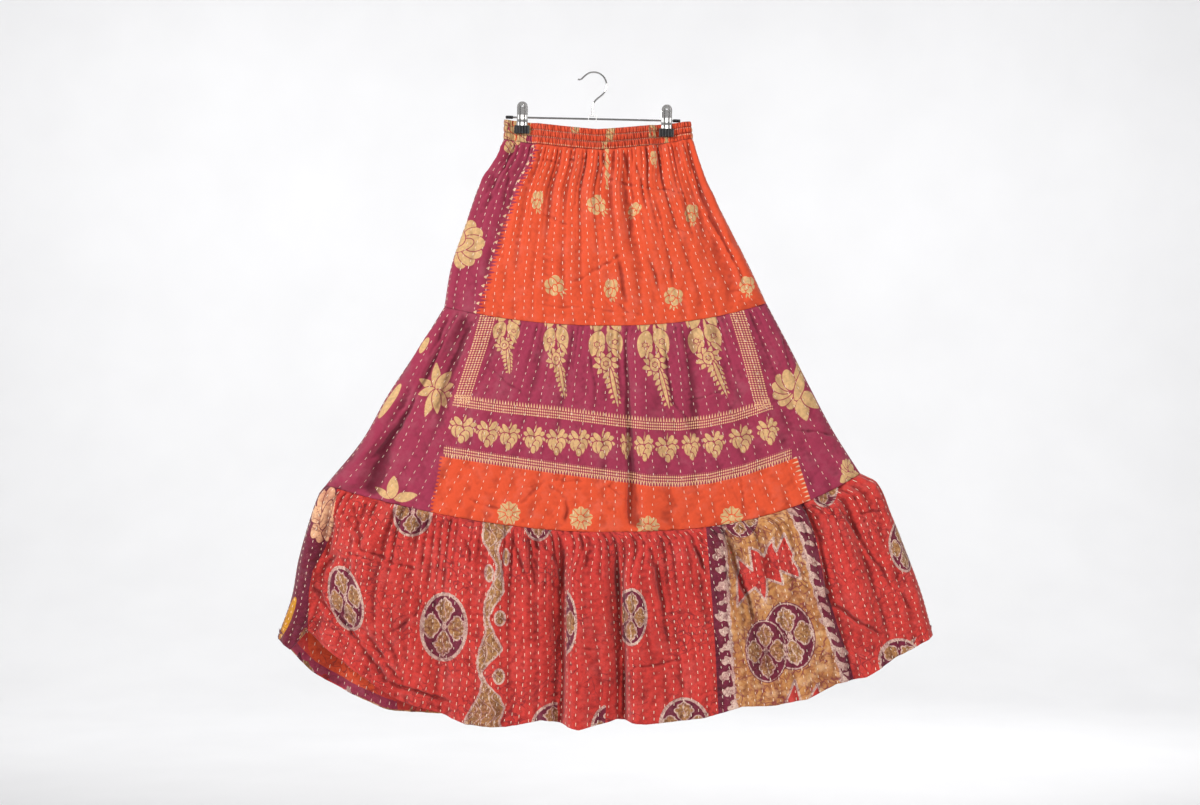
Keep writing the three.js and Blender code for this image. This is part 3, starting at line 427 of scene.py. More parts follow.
def fine_relief(tier, side, shares, down, x, z):
    """What the cloth does between the large folds: puckers, small gathers, ripples and creases."""
    made = TIERS[tier]
    lane = shares * made["rows"]
    between = np.abs(np.cos(np.pi * lane)) ** 0.8
    relief = made["pucker"] * (between - 0.6)
    wave, tall, fade = made["small"]
    passed = waves_passed(shares, wave, 2.2, SEED[side] + 1.3)
    sharp = 2 * np.sqrt(np.sin(np.pi * passed) ** 2 + 0.02) - 1
    begun = float(smooth(down, 0, 0.02))
    relief = relief + tall * sharp * begun * math.exp(-down / fade) * (0.7 + 0.5 * np.sin(passed * 1.9))
    number = np.floor(lane)
    start = 2.4 * np.sin(number * 12.9898) * 3
    ripple = np.sin(2 * np.pi * down * made["height"] / RIPPLE_LENGTH + start)
    small, broad, tight = made["ripple"]
    relief = relief + small * ripple * between
    seed = made["seed"]
    relief = relief + broad * wander(seed, 9, x, z * 0.5, 14, 46) + tight * wander(seed + 1, 9, x, z, 6, 14)
    at_hem = 1 - float(smooth(down, 0.92, 1))
    relief = relief + at_hem * creases_at(tier, x if side == "back" else CREASE_MIRROR - x, z)
    top = -1.3 * math.exp(-down * made["height"] / 2.2)
    bottom = 0 if tier == "lower" else -1.3 * math.exp(-(1 - down) * made["height"] / 1.6)
    return relief + top + bottom


def grid_object(name, points, attributes, material, flip=False, closed=False):
    """A mesh from rows of points, in mm. Seen from outside, rows run down and columns to the right."""
    rows, columns = points.shape[:2]
    index = np.arange(rows * columns).reshape(rows, columns)
    if closed:
        index = np.concatenate([index, index[:, :1]], axis=1)
    quads = [index[:-1, :-1], index[1:, :-1], index[1:, 1:], index[:-1, 1:]]
    if flip:
        quads = quads[::-1]
    faces = np.stack([q.ravel() for q in quads], axis=1)
    return mesh_object(name, points.reshape(-1, 3), faces, attributes, material)


def mesh_object(name, points, faces, attributes, material):
    mesh = bpy.data.meshes.new(name)
    mesh.vertices.add(len(points))
    mesh.vertices.foreach_set("co", (points * MM).astype(np.float32).ravel())
    corners_each = faces.shape[1]
    mesh.loops.add(faces.size)
    mesh.loops.foreach_set("vertex_index", faces.astype(np.int32).ravel())
    mesh.polygons.add(len(faces))
    mesh.polygons.foreach_set("loop_start", np.arange(0, faces.size, corners_each, dtype=np.int32))
    mesh.polygons.foreach_set("loop_total", np.full(len(faces), corners_each, dtype=np.int32))
    mesh.polygons.foreach_set("use_smooth", np.ones(len(faces), dtype=bool))
    for key, values in attributes.items():
        made = mesh.attributes.new(key, "FLOAT" if values.ndim == 2 else "FLOAT_VECTOR", "POINT")
        field = "value" if values.ndim == 2 else "vector"
        made.data.foreach_set(field, values.astype(np.float32).ravel())
    mesh.update()
    mesh.validate()
    made = bpy.data.objects.new(name, mesh)
    bpy.context.scene.collection.objects.link(made)
    mesh.materials.append(material)
    return made


def linear(red, green, blue):
    """A colour on a screen's 0 to 255 scale, as light."""
    def one(c):
        c = c / 255
        return c / 12.92 if c <= 0.04045 else ((c + 0.055) / 1.055) ** 2.4
    return (one(red), one(green), one(blue), 1)


ORANGE = linear(222, 80, 43)
PLUM = linear(157, 48, 76)
RED = linear(210, 60, 52)
GOLD = linear(224, 180, 124)
CREAM = linear(236, 200, 160)
BROWN_GOLD = linear(190, 138, 84)
PEACH = linear(238, 186, 142)
YELLOW = linear(222, 158, 20)
BORDER = linear(226, 176, 132)
TAN = linear(200, 140, 80)
DIM_CREAM = linear(222, 190, 172)
MAROON = linear(118, 32, 58)
THREAD = linear(250, 232, 210)
THREAD_SHADE = linear(226, 196, 168)
CRACK = (0.16, 0.012, 0.02, 1)
TAN_WEB = linear(118, 36, 52)
TAN_LIGHT = linear(236, 190, 142)
FLECK = linear(232, 150, 130)
# The width in mm over which a printed edge fades, on each side of it
DYE_EDGE = 0.22


class Graph:
    """A material's nodes, with shorthand for the kinds used here."""

    def __init__(self, name):
        self.material = bpy.data.materials.new(name)
        self.material.use_nodes = True
        self.nodes = self.material.node_tree.nodes
        self.links = self.material.node_tree.links
        self.place = self.add("ShaderNodeTexCoord").outputs["Object"]

    def add(self, kind, inputs=None, **settings):
        node = self.nodes.new(kind)
        for key, value in settings.items():
            setattr(node, key, value)
        for key, value in (inputs or {}).items():
            self.plug(node.inputs[key], value)
        return node

    def plug(self, socket, value):
        if isinstance(value, bpy.types.NodeSocket):
            self.links.new(value, socket)
        else:
            socket.default_value = value

    def math(self, operation, a, b=0.0, clamp=False):
        return self.add("ShaderNodeMath", {0: a, 1: b}, operation=operation, use_clamp=clamp).outputs[0]

    def times(self, a, b):
        return self.math("MULTIPLY", a, b)

    def wave(self, value, length):
        return self.math("SINE", self.times(value, 2 * math.pi / length))

    def mix(self, factor, a, b, blend="MIX"):
        node = self.add("ShaderNodeMix", data_type="RGBA", blend_type=blend)
        self.plug(node.inputs[0], factor)
        self.plug(node.inputs[6], a)
        self.plug(node.inputs[7], b)
        return node.outputs[2]

    def split(self, vector):
        return self.add("ShaderNodeSeparateXYZ", {0: vector}).outputs

    def attribute(self, name, output="Fac"):
        return self.add("ShaderNodeAttribute", attribute_name=name).outputs[output]

    def between(self, value, low, high, to_low=0.0, to_high=1.0):
        inputs = {"Value": value, "From Min": low, "From Max": high, "To Min": to_low, "To Max": to_high}
        return self.add("ShaderNodeMapRange", inputs).outputs["Result"]

    def inside(self, name):
        """1 where the mesh's distance of that name is below 0, with an edge as soft as dye."""
        return self.between(self.attribute(name), DYE_EDGE, -DYE_EDGE)

    def noise(self, scale, detail=2.0, rough=0.5):
        inputs = {"Vector": self.place, "Scale": scale, "Detail": detail, "Roughness": rough}
        return self.add("ShaderNodeTexNoise", inputs).outputs["Fac"]

    def patches(self, noise, low, high, most=1.0):
        """Blotches, from a noise's scale, detail and roughness: 0 below low and most above high."""
        return self.between(self.noise(*noise), low, high, 0.0, most)

    def surface(self, bump=None, **inputs):
        """Sets the shader's inputs, and a bump from (strength, distance, height)."""
        shader = self.nodes["Principled BSDF"]
        for key, value in inputs.items():
            self.plug(shader.inputs[key.replace("_", " ")], value)
        if bump:
            node = self.add("ShaderNodeBump", dict(zip(("Strength", "Distance", "Height"), bump)))
            self.plug(shader.inputs["Normal"], node.outputs["Normal"])
        return self.material


def printed(g, colour, base, dark, pale, gold, batik):
    """The pale, gold, peach and yellow parts of a print, over its ground."""
    speckle = g.patches((420.0, 3.0, 0.6), 0.5, 0.68, 0.75 if batik else 0.3)
    colour = g.mix(g.inside("pale"), colour, g.mix(speckle, pale, dark or base))
    veined = g.between(g.math("ABSOLUTE", g.attribute("vein")), 0.45, 0.95)
    darker = tuple(c * (0.5 if batik else 0.74) for c in gold[:3]) + (1,)
    mottled = g.mix(g.patches((260.0, 3.0), 0.35, 0.7), gold, darker)
    if batik:
        mottled = g.mix(g.patches((330.0, 3.0), 0.58, 0.68), mottled, pale)
    colour = g.mix(g.times(g.inside("gold"), veined), colour, mottled)
    if batik:
        colour = g.mix(g.times(g.inside("peach"), veined), colour, PEACH)
        colour = g.mix(g.inside("yellow"), colour, YELLOW)
    return colour


def crackled(g, colour, lined):
    """A batik's cracks and blotches, and the web over its tan ground."""
    drift = g.add("ShaderNodeTexNoise", {"Vector": g.place, "Scale": 26.0}).outputs["Color"]
    warped = g.add("ShaderNodeMix", {0: 0.06, 4: g.place, 5: drift}, data_type="VECTOR").outputs[1]

    def cracks(scale, wide, narrow):
        inputs = {"Vector": warped, "Scale": scale}
        edge = g.add("ShaderNodeTexVoronoi", inputs, feature="DISTANCE_TO_EDGE").outputs["Distance"]
        return g.between(edge, wide, narrow)

    line = g.times(cracks(62.0, 0.07, 0.0), g.patches((24.0, 3.0), 0.42, 0.6))
    colour = g.mix(g.times(line, 0.75), colour, CRACK)
    speck = g.patches((130.0, 5.0, 0.75), 0.46, 0.66, 0.75)
    colour = g.mix(speck, colour, (0.6, 0.36, 0.42, 1), "MULTIPLY")
    blotch = g.patches((17.0, 4.0, 0.6), 0.45, 0.7, 0.6)
    colour = g.mix(blotch, colour, (0.66, 0.42, 0.48, 1), "MULTIPLY")
    if not lined:
        ground = g.math("SUBTRACT", g.inside("panel"), g.inside("dark"), clamp=True)
        web = g.times(cracks(74.0, 0.11, 0.03), g.patches((45.0, 3.0), 0.42, 0.56))
        colour = g.mix(g.times(g.times(web, ground), 0.8), colour, TAN_WEB)
        light = g.times(g.patches((75.0, 3.0), 0.52, 0.66), ground)
        colour = g.mix(g.times(light, 0.45), colour, TAN_LIGHT)
    return g.mix(g.patches((520.0, 3.0, 0.6), 0.62, 0.72, 0.35), colour, FLECK)


def bordered(g, colour):
    """The middle tier's dotted borders, which are finer than its mesh."""
    rows = g.split(g.attribute("rows", "Vector"))
    runs = g.split(g.attribute("runs", "Vector"))

    def dots(run, aside, pitch, rank):
        return g.between(g.math("ADD", g.wave(run, pitch), g.wave(aside, rank)), 0.0, 0.6)

    def band(aside, low, high):
        above = g.between(aside, low - 0.2, low + 0.2)
        return g.times(above, g.between(aside, high + 0.2, high - 0.2))

    parts = []
    for line, way, low, high in ((rows[0], 1.0, 4.3, 11.0), (rows[1], -1.0, 8.5, 14.5)):
        dotted = g.times(dots(runs[0], line, 3.3, 4.3), band(line, -8.5, 4.3))
        out = g.times(line, way)
        tooth = g.math("SUBTRACT", g.wave(runs[0], 4.4), g.between(out, low, high, -0.2, 1.1))
        teeth = g.times(g.between(tooth, -0.2, 0.2), band(out, low, high))
        parts.append(g.math("MAXIMUM", dotted, teeth))
    level = g.times(g.math("MAXIMUM", *parts), g.between(rows[2], 22.0, 21.0))
    upright = g.times(dots(runs[1], rows[2], 3.6, 4.4), band(rows[2], -4.0, 20.5))
    upright = g.times(upright, g.between(rows[0], -4.0, -3.0))
    return g.mix(g.math("MAXIMUM", level, upright), colour, BORDER)


def cloth_material(
    name, base, panel, dark=None, pale=CREAM, gold=GOLD, batik=False, lined=False, borders=False
):
    """Printed cotton. The prints' outlines come from the mesh as distances in mm."""
    g = Graph(name)
    colour = g.mix(g.inside("panel"), base, panel)
    if dark:
        colour = g.mix(g.inside("dark"), colour, dark)
    if not lined:
        colour = printed(g, colour, base, dark, pale, gold, batik)
    cloud = g.patches((9.0, 4.0, 0.6), 0.3, 0.75, 0.3)
    colour = g.mix(cloud, colour, (0.72, 0.68, 0.72, 1), "MULTIPLY")
    faded = g.patches((38.0, 5.0, 0.65), 0.5, 0.8, 0.05)
    colour = g.mix(faded, colour, (1.0, 0.86, 0.8, 1), "SCREEN")
    if not lined:
        # Painted shade: the colour is darkened where the cloth lies in a hollow, in its creases and folds,
        # and in the band's gaps between ruffles and along its channels.
        hollow_shade = g.between(g.attribute("hollow"), -2.2, 0.1)
        colour = g.mix(hollow_shade, g.mix(1.0, colour, (0.5, 0.42, 0.46, 1), "MULTIPLY"), colour)
    if batik:
        colour = crackled(g, colour, lined)
    if borders:
        colour = bordered(g, colour)
    yarn = {"Vector": g.place, "Scale": 420.0, "Distortion": 0.6, "Detail": 1.0}
    warp, weft = (g.add("ShaderNodeTexWave", yarn, bands_direction=way).outputs["Fac"] for way in ("X", "Z"))
    height = g.math("ADD", g.times(g.times(warp, weft), 0.35), g.noise(160.0, 4.0, 0.6))
    return g.surface(
        (0.5, 0.0006, height), Base_Color=colour, Roughness=0.86, Specular_IOR_Level=0.25, Sheen_Weight=0.22,
        Sheen_Roughness=0.5,
    )


def thread_material():
    g = Graph("thread")
    shade = g.mix(g.between(g.noise(90.0, 3.0), 0.35, 0.7), THREAD, THREAD_SHADE)
    twist = g.add("ShaderNodeTexWave", {"Vector": g.place, "Scale": 500.0}, bands_direction="DIAGONAL")
    bump = (0.4, 0.0002, twist.outputs["Fac"])
    return g.surface(bump, Base_Color=shade, Roughness=0.7, Sheen_Weight=0.2)


def metal_material(name, clip_at=None):
    """Bright plated steel; on a clip's jaws, pressed with two ribs beside its middle."""
    g = Graph(name)
    wear = g.noise(120.0, 5.0, 0.7)
    shade, deep, height = linear(172, 170, 168), 0.0001, wear
    if clip_at is not None:
        shade = g.mix(g.between(wear, 0.4, 0.75), linear(226, 224, 222), linear(196, 193, 191))
        aside = g.math("ABSOLUTE", g.math("SUBTRACT", g.split(g.place)[0], clip_at * MM))
        rib = g.between(g.math("ABSOLUTE", g.math("SUBTRACT", aside, 0.0035)), 0.0016, 0.0)
        rolled = g.between(aside, 0.0062, 0.0082, 1.0, 0.0)
        deep, height = 0.0013, g.math("ADD", rib, rolled)
    rough = g.between(wear, 0.3, 0.8, 0.1, 0.24)
    return g.surface((0.9, deep, height), Base_Color=shade, Metallic=1.0, Roughness=rough)


def rubber_material():
    g = Graph("black_rubber")
    dusty = g.mix(g.between(g.noise(240.0, 4.0, 0.7), 0.4, 0.8), linear(20, 20, 22), linear(42, 41, 42))
    ribs = g.wave(g.split(g.place)[0], 0.0044)
    return g.surface((0.8, 0.0008, ribs), Base_Color=dusty, Roughness=0.42)


# The prints. Distances are signed, in mm, and below 0 inside.
FAR = 60.0


def turned(x, z, cx, cz, turn):
    """Places as seen from (cx, cz), with turn degrees to the right taken out."""
    a = math.radians(turn)
    dx, dz = x - cx, z - cz
    return dx * math.cos(a) - dz * math.sin(a), dx * math.sin(a) + dz * math.cos(a)


def ellipse(x, z, cx, cz, rx, rz, turn=0.0):
    """An ellipse round (cx, cz); turn is in degrees, from its long side upright to the right."""
    px, pz = turned(x, z, cx, cz, turn)
    k = np.sqrt((px / rx) ** 2 + (pz / rz) ** 2)
    g = np.sqrt((px / rx**2) ** 2 + (pz / rz**2) ** 2) + 1e-6
    return np.where(k > 1e-4, k * (k - 1) / g, -min(rx, rz))


def leaf(x, z, cx, cz, angle, long, wide):
    """A pointed petal from (cx, cz) outwards along angle, in degrees from straight up to the right."""
    s, t = turned(x, z, cx, cz, angle)
    t = t / long
    half = wide / 2 * np.sin(np.pi * np.clip(t, 0, 1) ** 0.8) ** 0.75
    cap = np.maximum(-t, t - 1) * long
    return np.where((t > 0) & (t < 1), (np.abs(s) - half) * 0.9, np.hypot(np.maximum(cap, 0), s))


class Painter:
    """Lays petals one over another. Where one ends on another, a line of the ground shows."""

    def __init__(self, x, z):
        self.x, self.z = x, z
        self.shape = np.full(x.shape, FAR)
        self.vein = np.full(x.shape, FAR)
        self.turn = 1

    def lay(self, distance):
        self.turn = -self.turn
        nearest = np.minimum(np.abs(self.vein), np.abs(distance))
        outside = np.where(self.vein < 0, -1, 1) * nearest
        self.vein = np.where(distance < 0, self.turn * np.abs(distance), outside)
        self.shape = np.minimum(self.shape, distance)

    def ovals(self, *rows):
        for row in rows:
            self.lay(ellipse(self.x, self.z, *row))

    def leaves(self, *rows):
        for row in rows:
            self.lay(leaf(self.x, self.z, *row))

    def petals(self, cx, cz, far, rx, rz, angles):
        """Rounded petals round (cx, cz), laid in the order of angles."""
        for angle in angles:
            a = math.radians(angle)
            self.ovals((cx + far * math.sin(a), cz + far * math.cos(a), rx, rz, angle))


def bud(p):
    """A small rose with three short leaves, about 32 across."""
    p.leaves(*((3, -7, angle, 15, 5) for angle in (118, 150, 182)))
    p.ovals(
        (-9, 1, 7, 8, 10), (9, 2, 7, 8, -10), (-6, 9, 8, 7, -30), (6, 10, 8, 7, 30), (0, 5, 6, 11, 0),
        (-5, -6, 7, 7, 30), (5, -5, 7, 7, -30), (-1, -2, 4, 6, 20),
    )


def open_flower(p):
    """A round flower of seven petals with a curled heart, about 80 across."""
    p.petals(0, 0, 22, 13, 19, (4, 176, 34, 150, 64, 120, 92))
    p.ovals((4, -4, 20, 9, -20), (-6, 8, 16, 14, 10))


def rosette(p, radius=18, count=9):
    """A ring of short petals round a disc."""
    far, turn = np.hypot(p.x, p.z), np.arctan2(p.x, p.z)
    p.shape = far - radius * (0.8 + 0.22 * np.abs(np.cos(count / 2 * turn)))
    p.vein = np.where(far > radius * 0.3, np.sin(count / 2 * turn) * far * 2 / count * 1.2, FAR)
    p.vein = np.where(np.abs(far - radius * 0.3) < 1.2, far - radius * 0.3, p.vein)


def pine(p):
    """A lotus cone: a swirled bulb under a spread crown, 36 by 50."""
    p.petals(0, 1, 11.5, 4.8, 10, (-102, 98, -70, 64, -40, 34))
    p.leaves((0, 8, 10, 19, 4))
    p.ovals(
        (-7, -7, 9, 11, -20), (7, -7, 9, 12, 20), (-2, -10, 7, 14, -16), (4, -14, 7, 11, 16),
        (0, -19, 5, 7, 0),
    )


def peony(p):
    """A large flower of veined petals over three broad leaves, about 70 by 96."""
    p.leaves((4, 4, 16, 46, 24), (2, -8, 166, 42, 24), (8, -4, 132, 40, 24))
    p.petals(-8, 2, 15, 10, 17, (-172, -140, -108, -76, -44, -12))
    p.ovals((6, 6, 8, 24, 22))


def star_flower(p):
    """A flower of nine pointed petals, about 60 by 88."""
    for angle, long, wide in (
        (-74, 34, 15), (98, 32, 15), (64, 32, 17), (-14, 42, 17), (30, 38, 19), (132, 36, 17),
        (-118, 32, 15), (188, 46, 17), (160, 40, 16),
    ):
        p.leaves((0, 0, angle, long, wide))


def three_leaves(p):
    """The top of a flower that the seam cuts off."""
    p.leaves((0, 0, -62, 34, 12), (4, 0, 76, 38, 16), (0, 0, 2, 36, 20))


def tall_flower(p):
    """A flower of eight broad petals round a long heart, about 60 by 80."""
    p.petals(0, 4, 18, 13, 22, (180, 150, -150, 96, -96, 40, -40, 0))
    p.ovals((2, 4, 10, 22, 12))


def spray(p):
    """A hanging flower spray, 52 wide and 140 long, its top at z = 0."""
    p.leaves(
        (19, 14, 176, 44, 9), (-20, 12, 186, 26, 9), (22, -8, 196, 40, 8), (-6, 12, 200, 32, 18),
        (9, 12, 158, 32, 18), (3, 2, 178, 60, 7), (-8, -14, 198, 44, 26), (6, -12, 158, 42, 26),
        (-2, -36, 210, 27, 9), (8, -42, 140, 24, 9),
    )
    p.leaves(*((0, -68, angle, 22, 11) for angle in range(-140, 181, 40)))
    p.ovals((0, -67, 9, 11))
    for i in range(6):
        for angle in (-132, 132):
            p.leaves((7 + 1.8 * i, -80 - 9 * i, angle, 17 - 1.4 * i, 9 - 0.6 * i))
    p.leaves((6, -72, 169, 72, 7))
    for cx, cz in ((-14, -36), (14, -32), (0, -67)):
        ring = np.hypot(p.x - cx, p.z - cz) - 4
        dotted = ring + 0.9 * np.cos(np.arctan2(p.z - cz, p.x - cx) * 6)
        p.vein = np.where(np.abs(ring) < 2.6, dotted, p.vein)


# A medallion as drawn: its oval, the length and width of its upright and level petals, and the lobes at a
# petal's tip: aside, up and radius, as shares of the petal
OVAL_WIDE, OVAL_HIGH = 37, 50
UPRIGHT_PETAL, LEVEL_PETAL = (38, 28), (27, 34)
LOBES = ((-0.34, 0.62, 0.2), (0.34, 0.62, 0.2), (-0.18, 0.84, 0.2), (0.18, 0.84, 0.2), (0, 0.94, 0.14))


def medallion(x, z, half_wide, half_high, thin=0.0):
    """A beaded oval ring round four lobed petals: its ground, its pale parts, its gold and its veins."""
    sx, sz = x * OVAL_WIDE / half_wide, z * OVAL_HIGH / half_high
    oval = ellipse(sx, sz, 0, 0, OVAL_WIDE, OVAL_HIGH)
    bead = 0.7 * np.abs(np.sin(np.arctan2(sx, sz) * 17))
    ring = np.abs(oval + 2.2) - 2.1 - bead * 0.8 + thin
    lobes = np.full(x.shape, FAR)
    ways = ((sx, sz, UPRIGHT_PETAL), (sx, -sz, UPRIGHT_PETAL), (sz, sx, LEVEL_PETAL), (sz, -sx, LEVEL_PETAL))
    for across, along, (long, wide) in ways:
        lobes = np.minimum(lobes, leaf(across, along, 0, 6, 0, long, wide * 0.8))
        for aside, up, radius in LOBES:
            far = np.hypot(across - aside * wide, along - 6 - up * long * 0.86)
            lobes = np.minimum(lobes, far - radius * wide)
    centre = np.hypot(sx, sz) - 4.2
    stalks = np.minimum(np.abs(sx - sz * 0.4), np.abs(sx + sz * 0.4)) - 0.9
    stalks = np.maximum(stalks, np.hypot(sx, sz) - 12)
    pale = np.minimum(np.minimum(ring, lobes), np.minimum(centre, stalks))
    vein = np.where(np.abs(sz) > 12, sx * 0.8 + 1.5 * np.sin(sz / 4), FAR)
    return oval, pale, lobes + 2.2, vein


def outline_distance(x, z, points):
    """A signed distance to a closed outline, below 0 inside."""
    best = np.full(x.shape, 1e9)
    within = np.zeros(x.shape, bool)
    for (ax, az), (bx, bz) in zip(points, points[1:] + points[:1]):
        ex, ez = bx - ax, bz - az
        u = np.clip(((x - ax) * ex + (z - az) * ez) / (ex * ex + ez * ez), 0, 1)
        best = np.minimum(best, np.hypot(x - ax - u * ex, z - az - u * ez))
        within ^= ((az > z) != (bz > z)) & (x < (bx - ax) * (z - az) / (bz - az + 1e-9) + ax)
    return np.where(within, -best, best)


def line_x(z, tier, points):
    """How far right an upright line through picture places is at a height."""
    xs, zs = spot(tier, *zip(*points))
    order = np.argsort(zs)
    return np.interp(z, zs[order], xs[order])


def line_z(x, tier, points):
    """How high a level line through picture places is at a place across."""
    xs, zs = spot(tier, *zip(*points))
    return np.interp(x, xs, zs)


def spikes(run, aside, pitch, long, wide):
    """Temple spikes that stand on a line and point to where aside grows."""
    part = np.abs((run / pitch) % 1 - 0.5) * pitch
    half = wide / 2 * np.clip(1 - aside / long, 0, 1)
    return np.where(aside > long, aside - long + part, np.maximum(part - half, -aside))


def painted(tier, x, z, spots, reach, motif):
    """A motif drawn at each of the spots: each vertex belongs to the nearest one, if within reach in mm."""
    best, lx, lz = np.full(x.shape, 1e9), np.full(x.shape, 999.0), np.full(x.shape, 999.0)
    for px, py, turn, wide, high in spots:
        ux, uz = turned(x, z, *spot(tier, px, py), turn)
        ux, uz = ux / wide, uz / high
        far = np.hypot(ux, uz)
        nearer = (far < best) & (far < reach)
        best, lx, lz = (np.where(nearer, a, b) for a, b in ((far, best), (ux, lx), (uz, lz)))
    p = Painter(lx, lz)
    motif(p)
    return p


def blank(x):
    """A print with nothing in it."""
    keys = ("panel", "dark", "pale", "gold", "vein", "peach", "yellow")
    return {key: np.full(x.shape, FAR) for key in keys}


def lay_gold(layers, shape, vein, where=True):
    """Adds a gold shape, with its veins where it is nearer than the gold that is there."""
    shape = np.where(where, shape, FAR)
    nearer = shape < layers["gold"]
    layers["vein"] = np.where(nearer & (shape < 3), vein, layers["vein"])
    layers["gold"] = np.minimum(layers["gold"], shape)


# Places in the picture. Buds, sprays and flowers: across, down, turn to the right in degrees, and scale
# across and along
BUDS = [
    (537, 201, 8, 0.6, 1.0), (597, 206, -28, 0.95, 1.0), (634, 210, 40, 0.55, 0.8),
    (692, 214, 10, 0.7, 1.0), (555, 287, -30, 1.0, 1.0), (611, 290, 4, 0.72, 1.0),
    (673, 298, 24, 0.95, 0.95), (748, 286, 12, 0.8, 0.95), (655, 158, 0, 0.5, 0.8),
    (724, 176, 16, 0.6, 0.9),
]
SPRAYS = [
    (508, 316, 8, 0.8, 0.66), (556, 319, 0, 0.74, 0.9), (606, 322, 0, 1.0, 0.95),
    (652, 321, -4, 0.95, 1.0), (702, 318, -10, 1.0, 0.92),
]
PEONIES = [(799, 390, -4, 1.0, 1.0), (853, 474, 70, 0.6, 0.4)]
SMALL_PEONIES = [(311, 617, 10, 0.36, 0.46), (303, 641, 20, 0.34, 0.5)]
# Cones: across, down, scale across
PINES = [
    (462, 428, 1.1), (488, 432, 0.95), (509, 435, 0.85), (534, 438, 0.85), (557, 440, 0.85),
    (579, 441, 0.85), (602, 443, 0.95), (626, 444, 0.45), (644, 446, 0.75), (667, 447, 0.9),
    (691, 445, 0.7), (714, 443, 0.85), (742, 438, 0.95), (769, 430, 0.85),
]
ROSETTES = [(509, 513), (581, 518), (648, 527), (732, 518)]
# Lines of the upper and middle tiers
PLUM_EDGE_UPPER = [(531, 136), (530, 150), (515, 185), (500, 225), (488, 265), (478, 300), (474, 312)]
SIDE_LEFT = [(493, 312), (484, 345), (474, 375), (467, 397), (457, 450)]
SIDE_RIGHT = [(731, 305), (743, 345), (751, 375), (757, 400), (779, 450)]
ROW_ONE = [
    (452, 400), (500, 407), (558, 413), (620, 421), (650, 424), (679, 425), (706, 422), (735, 416),
    (772, 404),
]
ROW_TWO = [
    (441, 448), (500, 457), (558, 465), (620, 473), (650, 477), (679, 478), (710, 475), (745, 467),
    (796, 450),
]
RIGHT_SEAM = [(752, 303), (763, 350), (778, 400), (797, 452), (813, 502)]
ORANGE_LEFT = [(440, 450), (436, 480), (430, 505)]
# Medallions: across, down, turn to the right in degrees, half width and half height; then, for one that a
# tuck cuts off, from where to where across it shows
MEDALLIONS = [
    (411, 513, 6, 20, 24), (343, 600, -16, 18, 33), (443, 628, 3, 24, 34), (538, 516, 0, 16, 25),
    (562, 622, 0, 15, 33, 566, 999), (631, 616, 2, 16, 28, 622, 999), (829, 489, 16, 13, 19),
    (910, 549, -8, 16, 25), (684, 724, 0, 25, 26), (553, 729, 0, 22, 25, 0, 558),
    (612, 729, 0, 21, 26, 0, 606), (905, 664, 40, 24, 22), (602, 518, 0, 12, 14),
]
TAN_MEDALLIONS = [(742, 520, 8, 17, 18), (791, 637, -14, 25, 34), (767, 652, -4, 21, 31)]
STAR = [
    (785.7, 534), (789.7, 544), (795.3, 555), (793.7, 560), (800, 569), (802.4, 580), (792, 576),
    (781, 571), (783.3, 579), (784, 585), (774.5, 582), (768, 580), (768, 592), (766.6, 603), (760, 593),
    (756, 588.5), (749, 595), (737.8, 607), (737.8, 582), (740, 569), (738, 558), (744.2, 563), (753, 571),
    (751.4, 560), (749.8, 548), (758.6, 551), (765, 557), (768.2, 547), (774.5, 538), (774.5, 547),
    (777, 552), (781.7, 542),
]
HEM_POINTS = [[(785, 706), (796, 681), (803, 706)], [(806, 706), (819, 685), (826, 706)]]
# The vine: down, its left edge and its right edge; then its ovals: across, down, half width and half height
VINE = [
    (527, 482, 513), (540, 481, 502), (550, 487, 499), (565, 496, 502), (580, 494, 504), (592, 487, 505),
    (605, 483, 496), (618, 483, 489), (630, 485, 494), (640, 482, 499), (650, 478, 504), (662, 476, 491),
    (672, 477, 482), (682, 481, 487), (695, 478, 500), (708, 470, 506), (722, 462, 500), (735, 470, 505),
]
VINE_OVALS = [(489, 573, 5, 9), (506, 557, 3.5, 9), (500, 618, 6, 8), (499, 676, 6, 8)]
TAN_LEFT = [(725, 520), (728, 560), (730, 610), (733, 660), (738, 725)]
TAN_RIGHT = [(789, 508), (803, 540), (812, 580), (824, 620), (836, 655), (850, 700)]
BAND_LEFT = [(706, 520), (709, 560), (713, 610), (716, 660), (719, 725)]
BAND_RIGHT = [(806, 503), (819, 540), (826, 580), (838, 620), (850, 655), (862, 700)]
LEFT_PLUM = [(333, 488), (331, 500), (328, 530), (319, 552), (308, 572), (304, 592), (302, 640)]


def upper_print(x, z):
    """Buds on orange, and an open flower on a plum panel at the left."""
    layers = blank(x)
    edge = line_x(z, "upper", PLUM_EDGE_UPPER)
    layers["panel"] = x - edge
    reach = 8 + 8 * np.abs(np.cos(np.pi * z / 13.5))
    layers["dark"] = spikes(z, (x - edge) / reach * 12, 5.4, 12.0, 5.8)
    layers["pale"] = spikes(z, edge + 2.5 - x, 13.5, 5.5, 6.0)
    p = painted("upper", x, z, BUDS, 34, bud)
    lay_gold(layers, p.shape, p.vein)
    p = painted("upper", x, z, [(458, 242, 0, 1.0, 1.0)], 90, open_flower)
    lay_gold(layers, p.shape, p.vein, x < edge - 8)
    for px, py, wide, high in ((607, 166, 3.0, 34), (506, 145, 9, 9), (514, 141, 6, 5)):
        cx, cz = spot("upper", px, py)
        streak = ellipse(x, z, cx, cz, wide, high) + 1.2 * np.sin(z / 3.1)
        lay_gold(layers, streak, 2.5 * np.sin(z / 4 + x / 3))
    return layers


